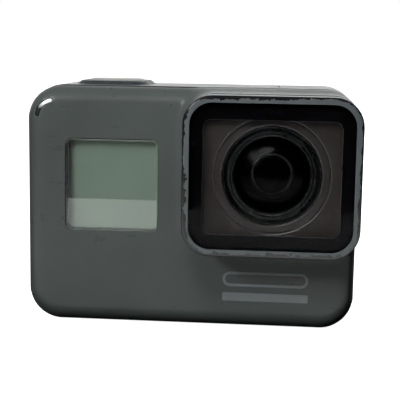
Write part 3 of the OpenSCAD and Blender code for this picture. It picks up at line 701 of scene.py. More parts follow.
def soft_touch(name, colour, roughness=0.5):
    """Soft-touch paint: a fine matte grain, faint smears, and a few pale specks of dust."""
    f = Finish(name, colour, roughness, Specular_IOR_Level=0.22)
    tone = f.mix(f.cloud(55, 4), shade(colour, 0.9), shade(colour, 1.12))
    specks = f.ramp(f.noise(1500, 2), 0.76, 0.82)
    f.colour(f.mix(f.math("MULTIPLY", specks, 0.3), tone, tuple(min(1, c * 3.2) for c in colour)))
    smears = f.noise(130, 5, 0.65, (1.0, 1.0, 2.2))
    f.rough(f.ramp(smears, 0.3, 0.75, roughness - 0.07, roughness + 0.1))
    f.bump(f.noise(7000, 2), 0.00001, 0.55)
    f.bump(f.noise(160, 3), 0.00003, 0.25)
    return f.material


def moulded(name, colour, roughness=0.45, grain=5000, bump=0.000012, **sockets):
    """Moulded plastic with a fine grain and slightly uneven gloss."""
    f = Finish(name, colour, roughness, **sockets)
    tone = f.cloud(140, 4)
    f.colour(f.mix(tone, shade(colour, 0.9), shade(colour, 1.1)))
    f.rough(f.cloud(400, 4, roughness * 0.85, min(1, roughness * 1.15)))
    f.bump(f.noise(grain, 2), bump, 0.5)
    return f.material


def rubber(name, colour):
    """Matte silicone rubber with a dusty sheen."""
    f = Finish(name, colour, 0.7, Sheen_Weight=0.2, Sheen_Roughness=0.5)
    tone = f.ramp(f.noise(600, 4), 0.35, 0.7)
    f.colour(f.mix(tone, colour, shade(colour, 1.3)))
    f.rough(f.cloud(900, 3, 0.6, 0.8))
    f.bump(f.noise(3500, 3), 0.00002, 0.5)
    return f.material


def worked_metal(name, colour, roughness, stretch=(1.0, 1.0, 30.0), grain=300):
    """Stamped, rolled or turned metal with fine directional lines."""
    f = Finish(name, colour, roughness, 1.0)
    lines = f.noise(grain, 4, 0.6, stretch)
    f.colour(f.mix(f.ramp(lines, 0.3, 0.7), shade(colour, 0.88), colour))
    f.rough(f.ramp(lines, 0.3, 0.7, roughness * 0.8, roughness * 1.25))
    f.bump(lines, 0.00001, 0.4)
    return f.material


def satin_black(name, colour, roughness):
    """Black anodised metal with faint turning marks."""
    f = Finish(name, colour, roughness, 0.0, Specular_IOR_Level=0.15)
    f.rough(f.cloud(500, 4, roughness * 0.8, roughness * 1.2))
    f.colour(f.mix(f.cloud(900, 3), colour, shade(colour, 1.5)))
    f.bump(f.noise(2500, 3), 0.000008, 0.5)
    return f.material


def clear_glass(name, tint, index, roughness=0.0):
    """Clear glass or window plastic with a trace of smears on its surface."""
    f = Finish(name, tint, roughness, Transmission_Weight=1.0, IOR=index)
    f.bump(f.noise(180, 3), 0.000004, 0.12)
    f.colour(f.mix(f.ramp(f.noise(90, 4), 0.35, 0.7), tint, shade(tint, 0.97)))
    return f.material


def coated_lens(name):
    """Coated front glass, tinted nearly black as painted shade for the dark inside of the lens, but clear
    where the rim of the element behind it shows.
    """
    # Painted shade: the near-black tint stands for the darkness inside the lens.
    black = (0.0006, 0.0006, 0.0008)
    coat = {"Coat_Weight": 1.0, "Coat_IOR": 1.1, "Coat_Roughness": 0.16}
    f = Finish(name, black, 0.04, Transmission_Weight=1.0, IOR=1.015, **coat)
    flat = f.node("ShaderNodeVectorMath", operation="MULTIPLY")
    f.link(f.place, flat.inputs[0])
    flat.inputs[1].default_value = (1, 0, 1)
    away = f.node("ShaderNodeVectorMath", operation="DISTANCE")
    f.link(flat.outputs["Vector"], away.inputs[0])
    away.inputs[1].default_value = (LENS_X * MM, 0, LENS_Z * MM)
    radius = away.outputs["Value"]
    inner = f.ramp(radius, (LIP_R - 0.55) * MM, (LIP_R - 0.3) * MM)
    outer = f.ramp(radius, (LIP_R + 0.35) * MM, (LIP_R + 0.6) * MM, 1.0, 0.0)
    band = f.math("MINIMUM", inner, outer)
    f.colour(f.mix(band, black, (0.6, 0.6, 0.63)))
    f.bump(f.noise(180, 3), 0.000004, 0.1)
    return f.material


def circuit(name):
    """Solder mask with copper tracks under it and pale printed pads."""
    f = Finish(name, (0.02, 0.1, 0.055), 0.35)
    tracks = f.node("ShaderNodeTexVoronoi", feature="DISTANCE_TO_EDGE")
    tracks.inputs["Scale"].default_value = 900
    f.link(f.place, tracks.inputs["Vector"])
    line = f.ramp(tracks.outputs["Distance"], 0.02, 0.06)
    pads = f.ramp(f.noise(1400, 1), 0.66, 0.7)
    green = f.mix(line, (0.06, 0.2, 0.1), (0.015, 0.08, 0.045))
    f.colour(f.mix(pads, green, (0.55, 0.5, 0.35)))
    f.bump(line, 0.00002, 0.5)
    return f.material


def lcd(name):
    """A reflective segment display, unlit: greenish grey, a fine vertical mesh, and painted shade along its
    left edge, a painted shadow of the window's left edge.
    """
    f = Finish(name, (0.09, 0.12, 0.095), 0.35)
    tone = f.cloud(60, 3)
    base = f.mix(tone, (0.083, 0.11, 0.088), (0.096, 0.126, 0.102))
    mesh = f.noise(1500, 1, 0.5, (12.0, 1.0, 1.0))
    lined = f.mix(f.math("MULTIPLY", f.ramp(mesh, 0.45, 0.55), 0.06), base, (0.12, 0.14, 0.12))
    start = window_low[0] + 0.5
    # Painted shadow: the display darkens towards its left edge, where the window's edge shades it.
    window_edge_shadow = f.ramp(f.split(f.place)["X"], start * MM, (start + 1.1) * MM, 1.0, 0.0)
    f.colour(f.mix(window_edge_shadow, lined, (0.016, 0.02, 0.019)))
    f.rough(f.cloud(300, 3, 0.3, 0.42))
    return f.material


def light_guide(name):
    """A translucent white light guide, painted bright white at the end nearer the body's edge, a painted
    reflection, and painted dark towards its other end, painted shade in its slot.
    """
    f = Finish(name, (0.8, 0.82, 0.81), 0.2)
    height = f.split(f.place)["Z"]
    # Painted light: the white end is a painted reflection, the dark end is painted shade in the slot.
    lit_end, shaded_end = 3.3, 4.4
    upper = f.ramp(height, (BODY_H - shaded_end) * MM, (BODY_H - lit_end) * MM)
    lower = f.ramp(height, lit_end * MM, shaded_end * MM, 1.0, 0.0)
    painted_lit_share = f.math("MULTIPLY", f.math("MAXIMUM", upper, lower), f.cloud(900, 3, 0.85, 1.0))
    f.colour(f.mix(painted_lit_share, (0.02, 0.024, 0.022), (0.95, 0.96, 0.95)))
    f.bump(f.noise(2500, 2), 0.000004, 0.5)
    return f.material


def chipped_paint(name):
    """Slate paint on the cover's frame, worn through to black plastic along its outer edge."""
    f = Finish(name, (0.11, 0.128, 0.13), 0.36, Specular_IOR_Level=0.5)
    edge = f.node("ShaderNodeAttribute", attribute_name="edge_distance").outputs["Fac"]
    ragged = f.noise(520, 5, 0.65)
    spots = f.noise(150, 2)
    width = f.math("MULTIPLY", f.ramp(spots, 0.35, 0.65, 0.5, 1.5), f.ramp(ragged, 0.36, 0.62, 0.12, 0.66))
    worn = f.ramp(f.math("SUBTRACT", width, edge), -0.02, 0.02)
    tone = f.cloud(220, 4)
    paint = f.mix(tone, (0.062, 0.073, 0.077), (0.09, 0.103, 0.107))
    f.colour(f.mix(worn, paint, (0.004, 0.004, 0.005)))
    f.rough(f.ramp(worn, 0, 1, 0.36, 0.25))
    f.bump(worn, -0.00005, 0.8)
    f.bump(f.noise(6000, 2), 0.00001, 0.5)
    return f.material


def brown_card(name):
    """The dark brown satin plate round the lens, with faint cloudy staining."""
    colour = (0.0078, 0.0068, 0.0062)
    f = Finish(name, colour, 0.5, Specular_IOR_Level=0.06, Coat_Weight=0.2, Coat_Roughness=0.03)
    cloud = f.noise(170, 5, 0.6)
    f.colour(f.mix(f.ramp(cloud, 0.3, 0.72), (0.0108, 0.009, 0.0077), (0.0152, 0.0133, 0.0126)))
    f.rough(f.ramp(cloud, 0.3, 0.7, 0.42, 0.6))
    f.bump(f.noise(5200, 2), 0.000012, 0.5)
    return f.material


def gloss_print(name, colour):
    """Black print bonded to the back of the cover's glass, as glossy as the glass over it."""
    f = Finish(name, colour, 0.03, Specular_IOR_Level=0.04)
    f.rough(f.cloud(300, 4, 0.02, 0.06))
    f.colour(f.mix(f.cloud(900, 3), colour, shade(colour, 1.4)))
    return f.material


shell_paint = soft_touch("shell_paint", (0.067, 0.077, 0.0745), 0.32)
door_paint = soft_touch("door_paint", (0.069, 0.08, 0.0775), 0.4)
# The shutter bezel is given a colour much darker than the shell paint.
bezel_rubber = rubber("bezel_rubber", (0.02, 0.0245, 0.026))
button_paint = soft_touch("button_paint", (0.076, 0.089, 0.086), 0.4)
shutter_paint = soft_touch("shutter_paint", (0.3, 0.315, 0.29), 0.42)
frame_paint = chipped_paint("cover_frame_paint")
frame_core = moulded("cover_frame_core", (0.006, 0.006, 0.007), 0.35)
black_plastic = moulded("black_plastic", (0.014, 0.014, 0.015), 0.5)
badge_paint = moulded("badge_paint", (0.17, 0.19, 0.195), 0.42)
light_pipe = light_guide("light_guide")
seal_rubber = rubber("seal_rubber", (0.02, 0.02, 0.021))
door_rubber = rubber("door_rubber", (0.32, 0.05, 0.035))
surround = brown_card("lens_surround_plate")
barrel_black = satin_black("barrel_black", (0.0007, 0.0008, 0.0008), 0.3)
# Glossy, and much lighter than the black round it: the gloss is the lip's finish, the lighter colour a
# painted highlight on the lip.
iris_lip_highlight = moulded("iris_lip_highlight", (0.03, 0.03, 0.03), 0.22, 2500, 0.000004)
# Lighter than the black round it: a painted highlight on the retainer's ridges, with black grooves between.
ridge_highlight_grey = satin_black("ridge_highlight_grey", (0.0105, 0.0122, 0.0122), 0.25)
print_black = gloss_print("cover_print_black", (0.0007, 0.0007, 0.0009))
# Lighter than the print: a painted highlight line on the bevel round the window.
print_edge_highlight = moulded("cover_print_edge", (0.016, 0.017, 0.0175), 0.3)
# Glossier than the plate and lighter in colour: the gloss is the rim's finish, the lighter colour a painted
# highlight on the lens rims.
rim_gloss_highlight = moulded("lens_rim_satin", (0.02, 0.018, 0.017), 0.24, 2500, 0.000004)
cover_clear = clear_glass("cover_clear", (0.94, 0.95, 0.96), 1.06)
window_clear = clear_glass("window_clear", (0.9, 0.93, 0.91), 1.46)
lens_clear = clear_glass("lens_clear", (0.3, 0.31, 0.34), 1.1, 0.05)
lens_coated = coated_lens("lens_coated")
screen_lcd = lcd("status_lcd")
board_green = circuit("circuit_board")
steel = worked_metal("stamped_steel", (0.56, 0.57, 0.58), 0.3)
copper = worked_metal("rolled_copper", (0.72, 0.42, 0.28), 0.32, (30.0, 1.0, 1.0))
gold = worked_metal("gold_plate", (0.83, 0.63, 0.3), 0.26)
chassis_grey = moulded("chassis_grey", (0.05, 0.05, 0.055), 0.55)
battery_wrap = moulded("battery_wrap", (0.03, 0.031, 0.034), 0.4)
tab_film = moulded("tab_film", (0.58, 0.58, 0.55), 0.4)
flex_film = moulded("flex_film", (0.42, 0.2, 0.05), 0.35)
sensor_face = moulded("sensor_face", (0.03, 0.05, 0.09), 0.15)
display_black = moulded("display_black", (0.004, 0.004, 0.005), 0.08, 900, 0.000002, Coat_Weight=0.5)
panel_black = moulded("panel_black", (0.012, 0.012, 0.015), 0.25)

CAD_FINISHES = (
    (seal_rubber, ("housing_seal", "status_window_gasket", "display_gasket", "lens_cover_seal")),
    (light_pipe, ("front_status_light", "rear_status_light")),
    (screen_lcd, ("status_screen",)),
    (board_green, ("status_screen_board", "sensor_board", "main_board")),
    (chassis_grey, ("lens_mount", "inner_chassis")),
    (sensor_face, ("image_sensor",)),
    (steel, (
        "processor_shield", "memory_card_slot", "usb_port", "hdmi_port", "shutter_switch",
        "mode_switch", "board_screws", "battery_door_hinge_pin", "port_door_hinge_pin",
    )),
    (copper, ("heat_spreader",)),
    (battery_wrap, ("battery",)),
    (tab_film, ("battery_pull_tab",)),
    (gold, ("battery_contacts", "microphones", "antenna_strip")),
    (black_plastic, ("memory_card", "port_panel", "speaker", "speaker_grille")),
    (panel_black, ("display_panel",)),
    (flex_film, ("display_cable",)),
    (door_rubber, ("battery_door_seal", "port_door_seal")),
)


def finish_cad_nodes():
    """Gives each carried-over CAD node its procedural material."""
    for material, nodes in CAD_FINISHES:
        for node in nodes:
            obj = frame["nodes"][node]
            obj.data.materials.clear()
            obj.data.materials.append(material)


# ---- the shells and doors ------------------------------------------------------------------


def near(at, before, after, step):
    """A fine zone for grid_lines."""
    return at - before, at + after, step


def edge_zones(low, high, axis, outside, inside, step):
    """Fine zones at both edges of the opening that a pane from low to high sits in."""
    first, last = low[axis] - PANE_GAP, high[axis] + PANE_GAP
    return [near(first, outside, inside, step), near(last, inside, outside, step)]


def build_front_shell():
    side = BODY_W / 2
    fine_x = edge_zones(window_low, window_high, 0, 0.7, 0.5, 0.13)
    fine_x += [near(-side, 0.3, 5, 0.25), near(side, 1.2, 0.2, 0.25), near(cover_low[0], 3.2, 3, 0.25)]
    fine_z = edge_zones(window_low, window_high, 2, 0.7, 0.5, 0.13)
    fine_z += [near(0, 0.3, 1.2, 0.25), near(BODY_H, 5, 0.2, 0.22), near(cover_low[2], 3, 2.5, 0.25)]
    fine_y = [near(Y_FRONT, 0.3, 0.7, 0.12), near(Y_BOSS, 0.1, 0.5, 0.1)]
    fine_y += [near(FRONT_END, 0.35, 0.1, 0.09), near(Y_FRONT, 3, 0, 0.3)]
    axes = (
        grid_lines(-side - 0.73, side + 0.7, 0.5, *fine_x),
        grid_lines(Y_BOSS - 0.33, FRONT_END + 0.3, 0.36, *fine_y),
        grid_lines(-0.61, BODY_H + 0.6, 0.5, *fine_z),
    )
    piece("front_shell", contour(front_shell, axes), "front_housing", shell_paint)


def build_rear_shell():
    side = BODY_W / 2
    fine_x = edge_zones(display_low, display_high, 0, 0.4, 0.3, 0.14)
    fine_x += [near(-side, 0.3, 1.2, 0.25), near(side, 1.2, 0.2, 0.25), near(side, side - 24, 0, 0.3)]
    fine_x += [near(MICROPHONE_X, 0.4, 0.4, 0.1)]
    fine_y = [near(REAR_START, 0.1, 0.3, 0.09), near(Y_REAR, 0.5, 0.1, 0.12)]
    fine_y += [near(bdoor_low[1], 0.4, 0.1, 0.12), near(bdoor_high[1], 0.1, 0.5, 0.12)]
    fine_z = edge_zones(display_low, display_high, 2, 0.4, 0.3, 0.14)
    fine_z += [near(0, 0.3, 1.2, 0.2), near(BODY_H, 1.2, 0.2, 0.25)]
    axes = (
        grid_lines(-side - 0.73, side + 0.7, 0.52, *fine_x),
        grid_lines(REAR_START - 0.33, Y_REAR + 0.4, 0.42, *fine_y),
        grid_lines(-0.61, BODY_H + 0.6, 0.52, *fine_z),
    )
    obj = piece("rear_shell", contour(rear_shell, axes), "rear_housing", shell_paint)
    # The parting face is unpainted black plastic, and its black also stands in for the seam's shadow line:
    # painted shade.
    repaint(obj, black_plastic, lambda face: face.center.y / MM < REAR_START + 0.05)


def build_doors():
    end = bdoor_high[0]
    axes = (
        grid_lines(bdoor_low[0] - 0.5, end + 0.4, 0.3, near(end, 2, 0.3, 0.12)),
        grid_lines(bdoor_low[1] - 0.37, bdoor_high[1] + 0.35, 0.25),
        grid_lines(-0.21, bdoor_high[2] + 0.35, 0.1),
    )
    piece("battery_door_panel", contour(battery_door, axes), "battery_door", door_paint)

    end = pdoor_high[1]
    axes = (
        grid_lines(pdoor_low[0] - 0.31, pdoor_high[0] + 0.3, 0.1),
        grid_lines(pdoor_low[1] - 0.37, end + 0.35, 0.2, near(end, 2, 0.3, 0.12)),
        grid_lines(pdoor_low[2] - 0.37, pdoor_high[2] + 0.35, 0.28),
    )
    piece("port_door_panel", contour(port_door, axes), "port_door", door_paint)


def latch_grid(low, high, steps):
    """The grid for a latch, with a step for each axis."""
    return tuple(grid_lines(a - 0.29, b + 0.3, step) for a, b, step in zip(low, high, steps))


def build_latches():
    def bottom_latch(x, y, z):
        return latch(x, y, z, blatch_low, blatch_high, 0.17)

    axes = latch_grid(blatch_low, blatch_high, (0.12, 0.16, 0.06))
    piece("battery_latch_slider", contour(bottom_latch, axes), "battery_door_latch", button_paint)

    low = (platch_low[2], platch_low[1], -platch_high[0])
    high = (platch_high[2], platch_high[1], -platch_low[0])

    def side_latch(x, y, z):
        return latch(z, y, -x, low, high, 0.15)

    axes = latch_grid(platch_low, platch_high, (0.06, 0.16, 0.12))
    piece("port_latch_slider", contour(side_latch, axes), "port_door_latch", button_paint)


# ---- buttons, windows and badge ------------------------------------------------------------


def build_bezel():
    low, high = bezel_low[:2], bezel_high[:2]
    base, top = bezel_low[2], bezel_high[2]
    outer = []
    for t in np.linspace(0, 1, 9):
        foot = (low + (1.25 * t, 0.7 * t), high - 1.25 * t)
        rise = 0.5 - 0.5 * math.cos(math.pi * t)
        outer.append((rect_loop(*foot, 3.6 - t), base + (top - base) * rise))
    spots = [(-i, t) for i, t in face_to_wall(0.18, top, 0, top - 0.18, 4)]
    hole = button_low[:2] + FLANGE - GAP, button_high[:2] - FLANGE + GAP
    inner = stack(*hole, BUTTON_HOLE_R, [*spots, (0, base)])
    piece("shutter_button_bezel", skin(outer + inner, "z", True), "shutter_bezel", bezel_rubber)


def build_buttons():
    bottom, top = button_low[2], button_high[2]
    flange = bottom + 1.05
    spots = [(2.6, bottom), (2.6, bottom + 0.5), (0.1, bottom + 0.5), (0, bottom + 0.6)]
    spots += [(0, flange - 0.1), (0.1, flange), (FLANGE, flange)]
    spots += wall_to_face(FLANGE, top - 0.35, 1.15, top - 0.03, 6)
    spots += [(1.8, top - 0.01), (2.6, top), (BUTTON_R, top)]
    loops = stack(button_low[:2], button_high[:2], BUTTON_R, spots)
    piece("shutter_button_cap", skin(loops, "z"), "shutter_button", shutter_paint)

    low, high = mode_low[1:], mode_high[1:]
    face, inside = mode_low[0], mode_high[0]
    rim = 0.6
    spots = [(2.0, face + 0.12), (1.4, face + 0.1), (0.85, face + 0.02)]
    spots += face_to_wall(0.75, face, rim, face + 0.15, 4)
    spots += [(rim, inside - 0.45), (0, inside - 0.45), (0, inside)]
    loops = stack(low, high, (high[0] - low[0]) / 2 - 0.01, spots)
    piece("mode_button_cap", skin(loops, "x"), "mode_button", button_paint)


def pane(low, high, r, y_face, y_back, bevel, side):
    """A flat pane with bevelled edges. side is +1 where its face looks along -Y, or -1 along +Y."""
    spots = [(bevel, y_face), *face_to_wall(bevel, y_face, 0, y_face + side * bevel, 4)]
    spots += [(0, y_back - side * 0.05), (0.05, y_back)]
    return skin(stack(low, high, r, spots), "y")


def build_windows():
    low, high = window_low[[0, 2]], window_high[[0, 2]]
    shape = pane(low, high, 1.22, window_low[1], window_high[1], 0.25, 1)
    obj = piece("status_window_pane", shape, "status_window", window_clear)
    obj.visible_shadow = False

    low, high = display_low[[0, 2]], display_high[[0, 2]]
    shape = pane(low, high, DISPLAY_R, display_high[1], display_low[1], 0.3, -1)
    piece("rear_display_glass", shape, "display_glass", display_black)


def build_badge():
    """A blank outlined pill over a plain bar, standing a hair proud of the front face."""
    top, base = Y_FRONT - 0.04, Y_FRONT + 0.1
    bar_high = badge_low[2] + 1.6
    pill_low, pill_high = badge_high[2] - 2.8, badge_high[2]
    outside = [(0, base), (0, top + 0.02), (0.02, top)]
    inside = [(0.48, top), (0.5, top + 0.02), (0.5, base)]
    low, high = (badge_low[0], pill_low), (badge_high[0], pill_high)
    pill = skin(stack(low, high, 1.4, outside + inside), "y", True)
    low, high = (badge_low[0], badge_low[2]), (badge_high[0], bar_high)
    bar = skin(stack(low, high, 0.3, outside), "y")
    piece("badge", join(pill, bar), "badge_inlay", badge_paint)


# ---- the lens ------------------------------------------------------------------------------


def build_collar():
    ro, ri = collar_high[0] - LENS_X, barrel_high[0] - LENS_X + 0.1
    y0, y1 = collar_low[1] + 0.2, collar_high[1]
    edge, lip = 0.1, 0.2
    profile = [(ro, y1), (ro, y0 + edge)]
    turns = (0.4, 0.8, 1.2, 1.57)
    profile += [(ro - edge + edge * math.cos(a), y0 + edge - edge * math.sin(a)) for a in turns]
    profile += [(ri + lip + 0.02, y0)]
    turns = (0.2, 0.5, 0.8, 1.1, 1.35, 1.57)
    profile += [(ri + lip - lip * math.sin(a), y0 + lip - lip * math.cos(a)) for a in turns]
    profile += [(ri, y1)]
    obj = piece("lens_collar_ring", lathe(profile, True), "lens_collar", surround)
    # Painted highlight on the collar's inner rim.
    repaint(obj, rim_gloss_highlight, ring(ri - 0.01, ri + lip + 0.01))


def build_barrel():
    r, y0, y1 = barrel_high[0] - LENS_X, barrel_low[1], barrel_high[1]
    seat = retainer_high[0] - LENS_X + 0.02
    shoulder = y1 - 7.5
    profile = [(r, shoulder), (r, y0 + 0.12), (r - 0.05, y0 + 0.03), (r - 0.14, y0), (r - 0.24, y0 + 0.04)]
    profile += [(seat + 0.12, y0 + 0.7), (seat, y0 + 0.8), (seat, y0 + 1.8)]
    profile += [(BARREL_BORE, y0 + 1.82), (BARREL_BORE, shoulder)]
    profile += [(BARREL_THROAT, shoulder + 0.05), (BARREL_THROAT, y1)]
    profile += [(BARREL_FOOT, y1), (BARREL_FOOT, shoulder)]
    piece("lens_barrel_tube", lathe(profile, True), "lens_barrel", barrel_black)


def build_retainer():
    """The retaining ring, with two thin ridges on its front, which are coloured lighter than the rest as a
    painted highlight.
    """
    r, y0, y1 = retainer_high[0] - LENS_X, retainer_low[1], retainer_high[1]
    floor = y0 + 0.4
    outer_ridge, inner_ridge = r - 0.36, r - 0.92
    profile = [(r, y1), (r, floor)]
    for at, top in ((outer_ridge, y0), (inner_ridge, y0 + 0.08)):
        half = [(0.09, floor), (0.08, top + 0.06), (0.04, top)]
        profile += [(at + d, y) for d, y in half] + [(at - d, y) for d, y in half[::-1]]
    profile += [(RETAINER_BORE, y0 + 0.5), (RETAINER_BORE, y1)]
    obj = piece("lens_retainer", lathe(profile, True), "lens_retaining_ring", barrel_black)
    # Painted highlight on the ridges and the inner edge.
    repaint(obj, ridge_highlight_grey, ring(outer_ridge - 0.1, outer_ridge + 0.1))
    repaint(obj, ridge_highlight_grey, ring(RETAINER_BORE - 0.1, inner_ridge + 0.1))


def build_glasses():
    """The front glass, domed and hollow behind, and the small one behind the iris."""
    low, high = box_mm("front_lens_element")
    rim = high[0] - LENS_X
    y_rim = low[1] + DOME_R - math.sqrt(DOME_R**2 - rim**2)
    turns = [math.asin(rim / DOME_R) * k / 24 for k in range(25)]
    profile = [(DOME_R * math.sin(a), low[1] + DOME_R * (1 - math.cos(a))) for a in turns]
    profile += [(rim - 0.05, y_rim + 0.1), (rim - 0.15, high[1]), (HOLLOW_R, high[1])]
    turns = quarter_turn(12)[1:]
    profile += [(HOLLOW_R * math.cos(a), high[1] - HOLLOW_DEPTH * math.sin(a)) for a in turns]
    obj = piece("front_lens_dome", lathe(profile), "front_lens_element", lens_coated)
    obj.visible_shadow = False

    low, high = box_mm("inner_lens_element")
    r, bulge = high[0] - LENS_X, 0.75
    profile = [(r * math.sin(a), low[1] + bulge * (1 - math.cos(a))) for a in quarter_turn(14)]
    profile += [(r, high[1] - 0.1), (r - 0.1, high[1]), (0, high[1])]
    obj = piece("inner_lens_dome", lathe(profile), "inner_lens_element", lens_clear)
    obj.visible_shadow = False


def build_iris():
    low, high = box_mm("lens_aperture_ring")
    r, y0 = high[0] - LENS_X, low[1]
    half = 0.2
    y_lip = y0 + 0.62
    profile = [(r, high[1]), (r, y0 + 0.05), (r - 0.05, y0), (5.6, y0), (5.45, y0 + 0.06)]
    profile += [(LIP_R + half + 0.05, y_lip)]
    turns = [0.4 * k for k in range(1, 8)]
    profile += [(LIP_R + half * math.cos(a), y_lip - half * math.sin(a)) for a in turns]
    profile += [(LIP_R - half - 0.05, y0 + 0.78), (IRIS_R, y0 + 0.79), (IRIS_R, high[1])]
    obj = piece("lens_iris_ring", lathe(profile, True), "lens_aperture_ring", barrel_black)
    # Painted highlight on the lip.
    repaint(obj, iris_lip_highlight, ring(LIP_R - half - 0.01, LIP_R + half + 0.01))


# ---- the lens cover ------------------------------------------------------------------------


def build_cover_frame():
    """The cover's frame. edge_distance tells its paint how far each point is from the outer front edge."""
    low, high = cover_low[[0, 2]], cover_high[[0, 2]]
    y0, y1 = cover_low[1], cover_high[1]
    edge, back_edge, step = 0.5, 0.12, plate_high[1]
    spots = [(back_edge, y1)]
    turns = (0.5, 1.0, 1.57)
    spots += [(back_edge * (1 - math.sin(a)), y1 - back_edge * (1 - math.cos(a))) for a in turns]
    spots += [(0, y0 + edge + 1.2), (0, y0 + edge + 0.6), (0, y0 + edge + 0.3)]
    spots += wall_to_face(0, y0 + edge, edge, y0, 8)
    spots += [(edge + 0.2, y0), (edge + 0.4, y0), (COVER_WALL - 0.14, y0)]
    spots += face_to_wall(COVER_WALL - 0.12, y0, COVER_WALL, y0 + 0.12, 3)
    spots += [(COVER_WALL, step)]
    around = inset_loop(low, high, COVER_R, 0, 16)
    hole = circle_like(around, (LENS_X, LENS_Z), COVER_HOLE_R)
    loops = [*stack(low, high, COVER_R, spots, 16), (hole, step), (hole, y1)]
    obj = piece("cover_frame", skin(loops, "y", True), "lens_cover_frame", frame_paint)

    far = 9.0  # for the hole's loops, which never wear
    corner = np.array([edge * 0.3, y0 + edge * 0.3])
    near = [np.hypot(*(np.array(spot) - corner)) for spot in spots] + [far, far]
    attribute = obj.data.attributes.new("edge_distance", "FLOAT", "POINT")
    attribute.data.foreach_set("value", np.repeat(np.array(near, np.float32), len(around)))

    def inside(face):
        rows = {v // len(around) for v in face.vertices}
        return min(rows) >= len(spots) - 2 or rows == {0, len(loops) - 1}

    repaint(obj, frame_core, inside)


def build_cover_glass():
    low, high = glass_low[[0, 2]], glass_high[[0, 2]]
    shape = pane(low, high, GLASS_R, glass_low[1], glass_high[1] - 0.03, 0.12, 1)
    obj = piece("cover_glass_pane", shape, "lens_cover_glass", cover_clear)
    obj.visible_shadow = False


def build_cover_print():
    """The black print behind the glass, round a window with a bevelled edge, which is coloured lighter as a
    painted highlight line.
    """
    front, back = mask_low[1], mask_high[1]
    outer = stack(mask_low[[0, 2]], mask_high[[0, 2]], GLASS_R, [(0, back), (0, front)])
    middle = np.array([LENS_X, LENS_Z - WINDOW_DOWN])
    half = np.array([WINDOW_W, WINDOW_H]) / 2
    spots = [(-WINDOW_BEVEL, front), (0, back - 0.02), (0, back)]
    loops = outer + stack(middle - half, middle + half, WINDOW_R, spots)
    obj = piece("cover_print", skin(loops, "y", True), "lens_cover_mask", print_black)
    count = len(loops[0][0])
    # The bevel's lighter colour is a painted highlight line.
    repaint(obj, print_edge_highlight, lambda face: {v // count for v in face.vertices} == {2, 3})


def build_cover_plate():
    low, high = plate_low[[0, 2]], plate_high[[0, 2]]
    y0, y1 = plate_low[1], plate_high[1]
    corner = COVER_R - COVER_WALL
    around = inset_loop(low, high, corner, 0, 16)
    r = collar_high[0] - LENS_X + 0.1
    loops = stack(low, high, corner, [(0.05, y1), (0, y1 - 0.05), (0, y0)], 16)
    for gap, y in ((0.3, y0), (0.12, y0 + 0.03), (0.03, y0 + 0.1), (0, y0 + 0.25), (0, y1)):
        loops.append((circle_like(around, (LENS_X, LENS_Z), r + gap), y))
    obj = piece("cover_back_plate", skin(loops, "y", True), "lens_cover_plate", surround)
    # Painted highlight on the rim of the plate's hole.
    repaint(obj, rim_gloss_highlight, ring(r - 0.01, r + 0.13))


# ---- studio --------------------------------------------------------------------------------

BACKDROP = 1.45  # strength of the world behind the object
OVERHEAD = 0.15  # and straight above it
AMBIENT = 0.006  # and all round the horizon


def floor_sheet(name, low, high, material):
    """A flat rectangle at floor level."""
    mesh = bpy.data.meshes.new(name)
    corners = [(low[0], low[1]), (high[0], low[1]), (high[0], high[1]), (low[0], high[1])]
    mesh.from_pydata([(x * MM, y * MM, 0) for x, y in corners], [], [(0, 1, 2, 3)])
    mesh.materials.append(material)
    obj = add_object(name, mesh)
    return obj


def area_light(name, place, target, size, power):
    light = bpy.data.lights.new(name, "AREA")
    light.shape = "RECTANGLE"
    light.size, light.size_y = size[0] * MM, size[1] * MM
    light.energy = power
    obj = add_object(name, light)
    obj.visible_camera = False
    obj.location = Vector(place) * MM
    obj.rotation_euler = (Vector(place) - Vector(target)).to_track_quat("Z", "Y").to_euler()
    return obj


def build_world():
    """A bright backdrop behind the object, dark elsewhere; plain white to the camera."""
    world = bpy.data.worlds.new("studio")
    bpy.context.scene.world = world
    world.use_nodes = True
    sky = Nodes(world.node_tree)
    background = sky.tree.nodes["Background"]
    background.inputs["Color"].default_value = (1, 1, 1, 1)
    up = sky.split(sky.node("ShaderNodeTexCoord").outputs["Generated"])
    behind = sky.ramp(up["Y"], 0.35, 0.9, 0.0, BACKDROP, "SMOOTHSTEP")
    above_floor = sky.ramp(up["Z"], -0.05, 0.12, 0.0, 1.0, "SMOOTHSTEP")
    overhead = sky.ramp(up["Z"], 0.0, 1.0, AMBIENT, OVERHEAD, "SMOOTHSTEP")
    glow = sky.math("ADD", sky.math("MULTIPLY", behind, above_floor), overhead)
    seen = sky.node("ShaderNodeLightPath").outputs["Is Camera Ray"]
    sky.link(sky.math("MAXIMUM", glow, seen), background.inputs["Strength"])


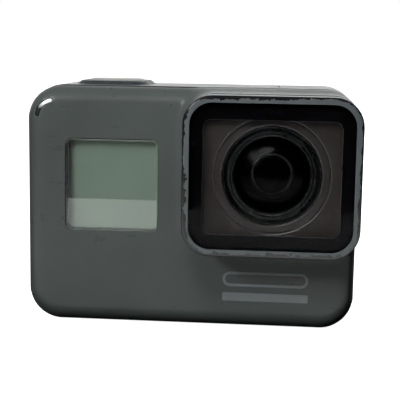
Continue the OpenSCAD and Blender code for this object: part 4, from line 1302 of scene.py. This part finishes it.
def build_studio():
    """One plain pale floor to the eye. Only its patch in front of the object shows in reflections."""
    far, x0, x1, y0, y1 = 6000, -150, 150, -160, -15
    sheets = {
        "floor": ((x0, y0), (x1, y1), 0.7),
        "floor_front": ((-far, -far), (far, y0), 0.95),
        "floor_back": ((-far, y1), (far, far), 0.95),
        "floor_left": ((-far, y0), (x0, y1), 0.95),
        "floor_right": ((x1, y0), (far, y1), 0.95),
    }
    for name, (low, high, glow) in sheets.items():
        paper = Finish(name, (0.9, 0.9, 0.9), 0.8, Emission_Color=(1, 1, 1, 1), Emission_Strength=glow)
        paper.bump(paper.noise(900, 3), 0.00005, 0.1)
        floor = floor_sheet(name, low, high, paper.material)
        floor.visible_diffuse = False
        floor.visible_glossy = floor.visible_transmission = name == "floor"
    build_world()
    area_light("key_light", (-242, -302, 226), (5, -8, 22), (120, 90), 1.0)
    fill = area_light("fill_light", (-8, -78, 100), (5, -8, 30), (40, 30), 0.063)
    back = area_light("back_light", (300, 330, 240), (5, 0, 22), (150, 150), 2.2)
    fill.visible_glossy = back.visible_glossy = False
    bpy.context.scene.view_settings.view_transform = "Standard"


def build_camera():
    place = Vector((17.78, -192.28, 52.71)) * MM
    yaw, pitch, roll = (math.radians(d) for d in (4.9, -8.72, -0.95))
    data = bpy.data.cameras.new("camera")
    data.sensor_width = 36
    data.lens = 91.16
    data.clip_start, data.clip_end = 0.01, 20
    obj = add_object("camera", data)
    turn = Matrix.Rotation(yaw, 4, "Z") @ Matrix.Rotation(pitch, 4, "X") @ Matrix.Rotation(roll, 4, "Y")
    level = Matrix.Rotation(math.pi / 2, 4, "X")  # from looking down to looking along +Y
    obj.matrix_world = Matrix.Translation(place) @ turn @ level
    bpy.context.scene.camera = obj


build_front_shell()
build_rear_shell()
build_doors()
build_latches()
build_bezel()
build_buttons()
build_windows()
build_badge()
build_collar()
build_barrel()
build_retainer()
build_glasses()
build_iris()
build_cover_frame()
build_cover_glass()
build_cover_print()
build_cover_plate()
finish_cad_nodes()
build_studio()
build_camera()
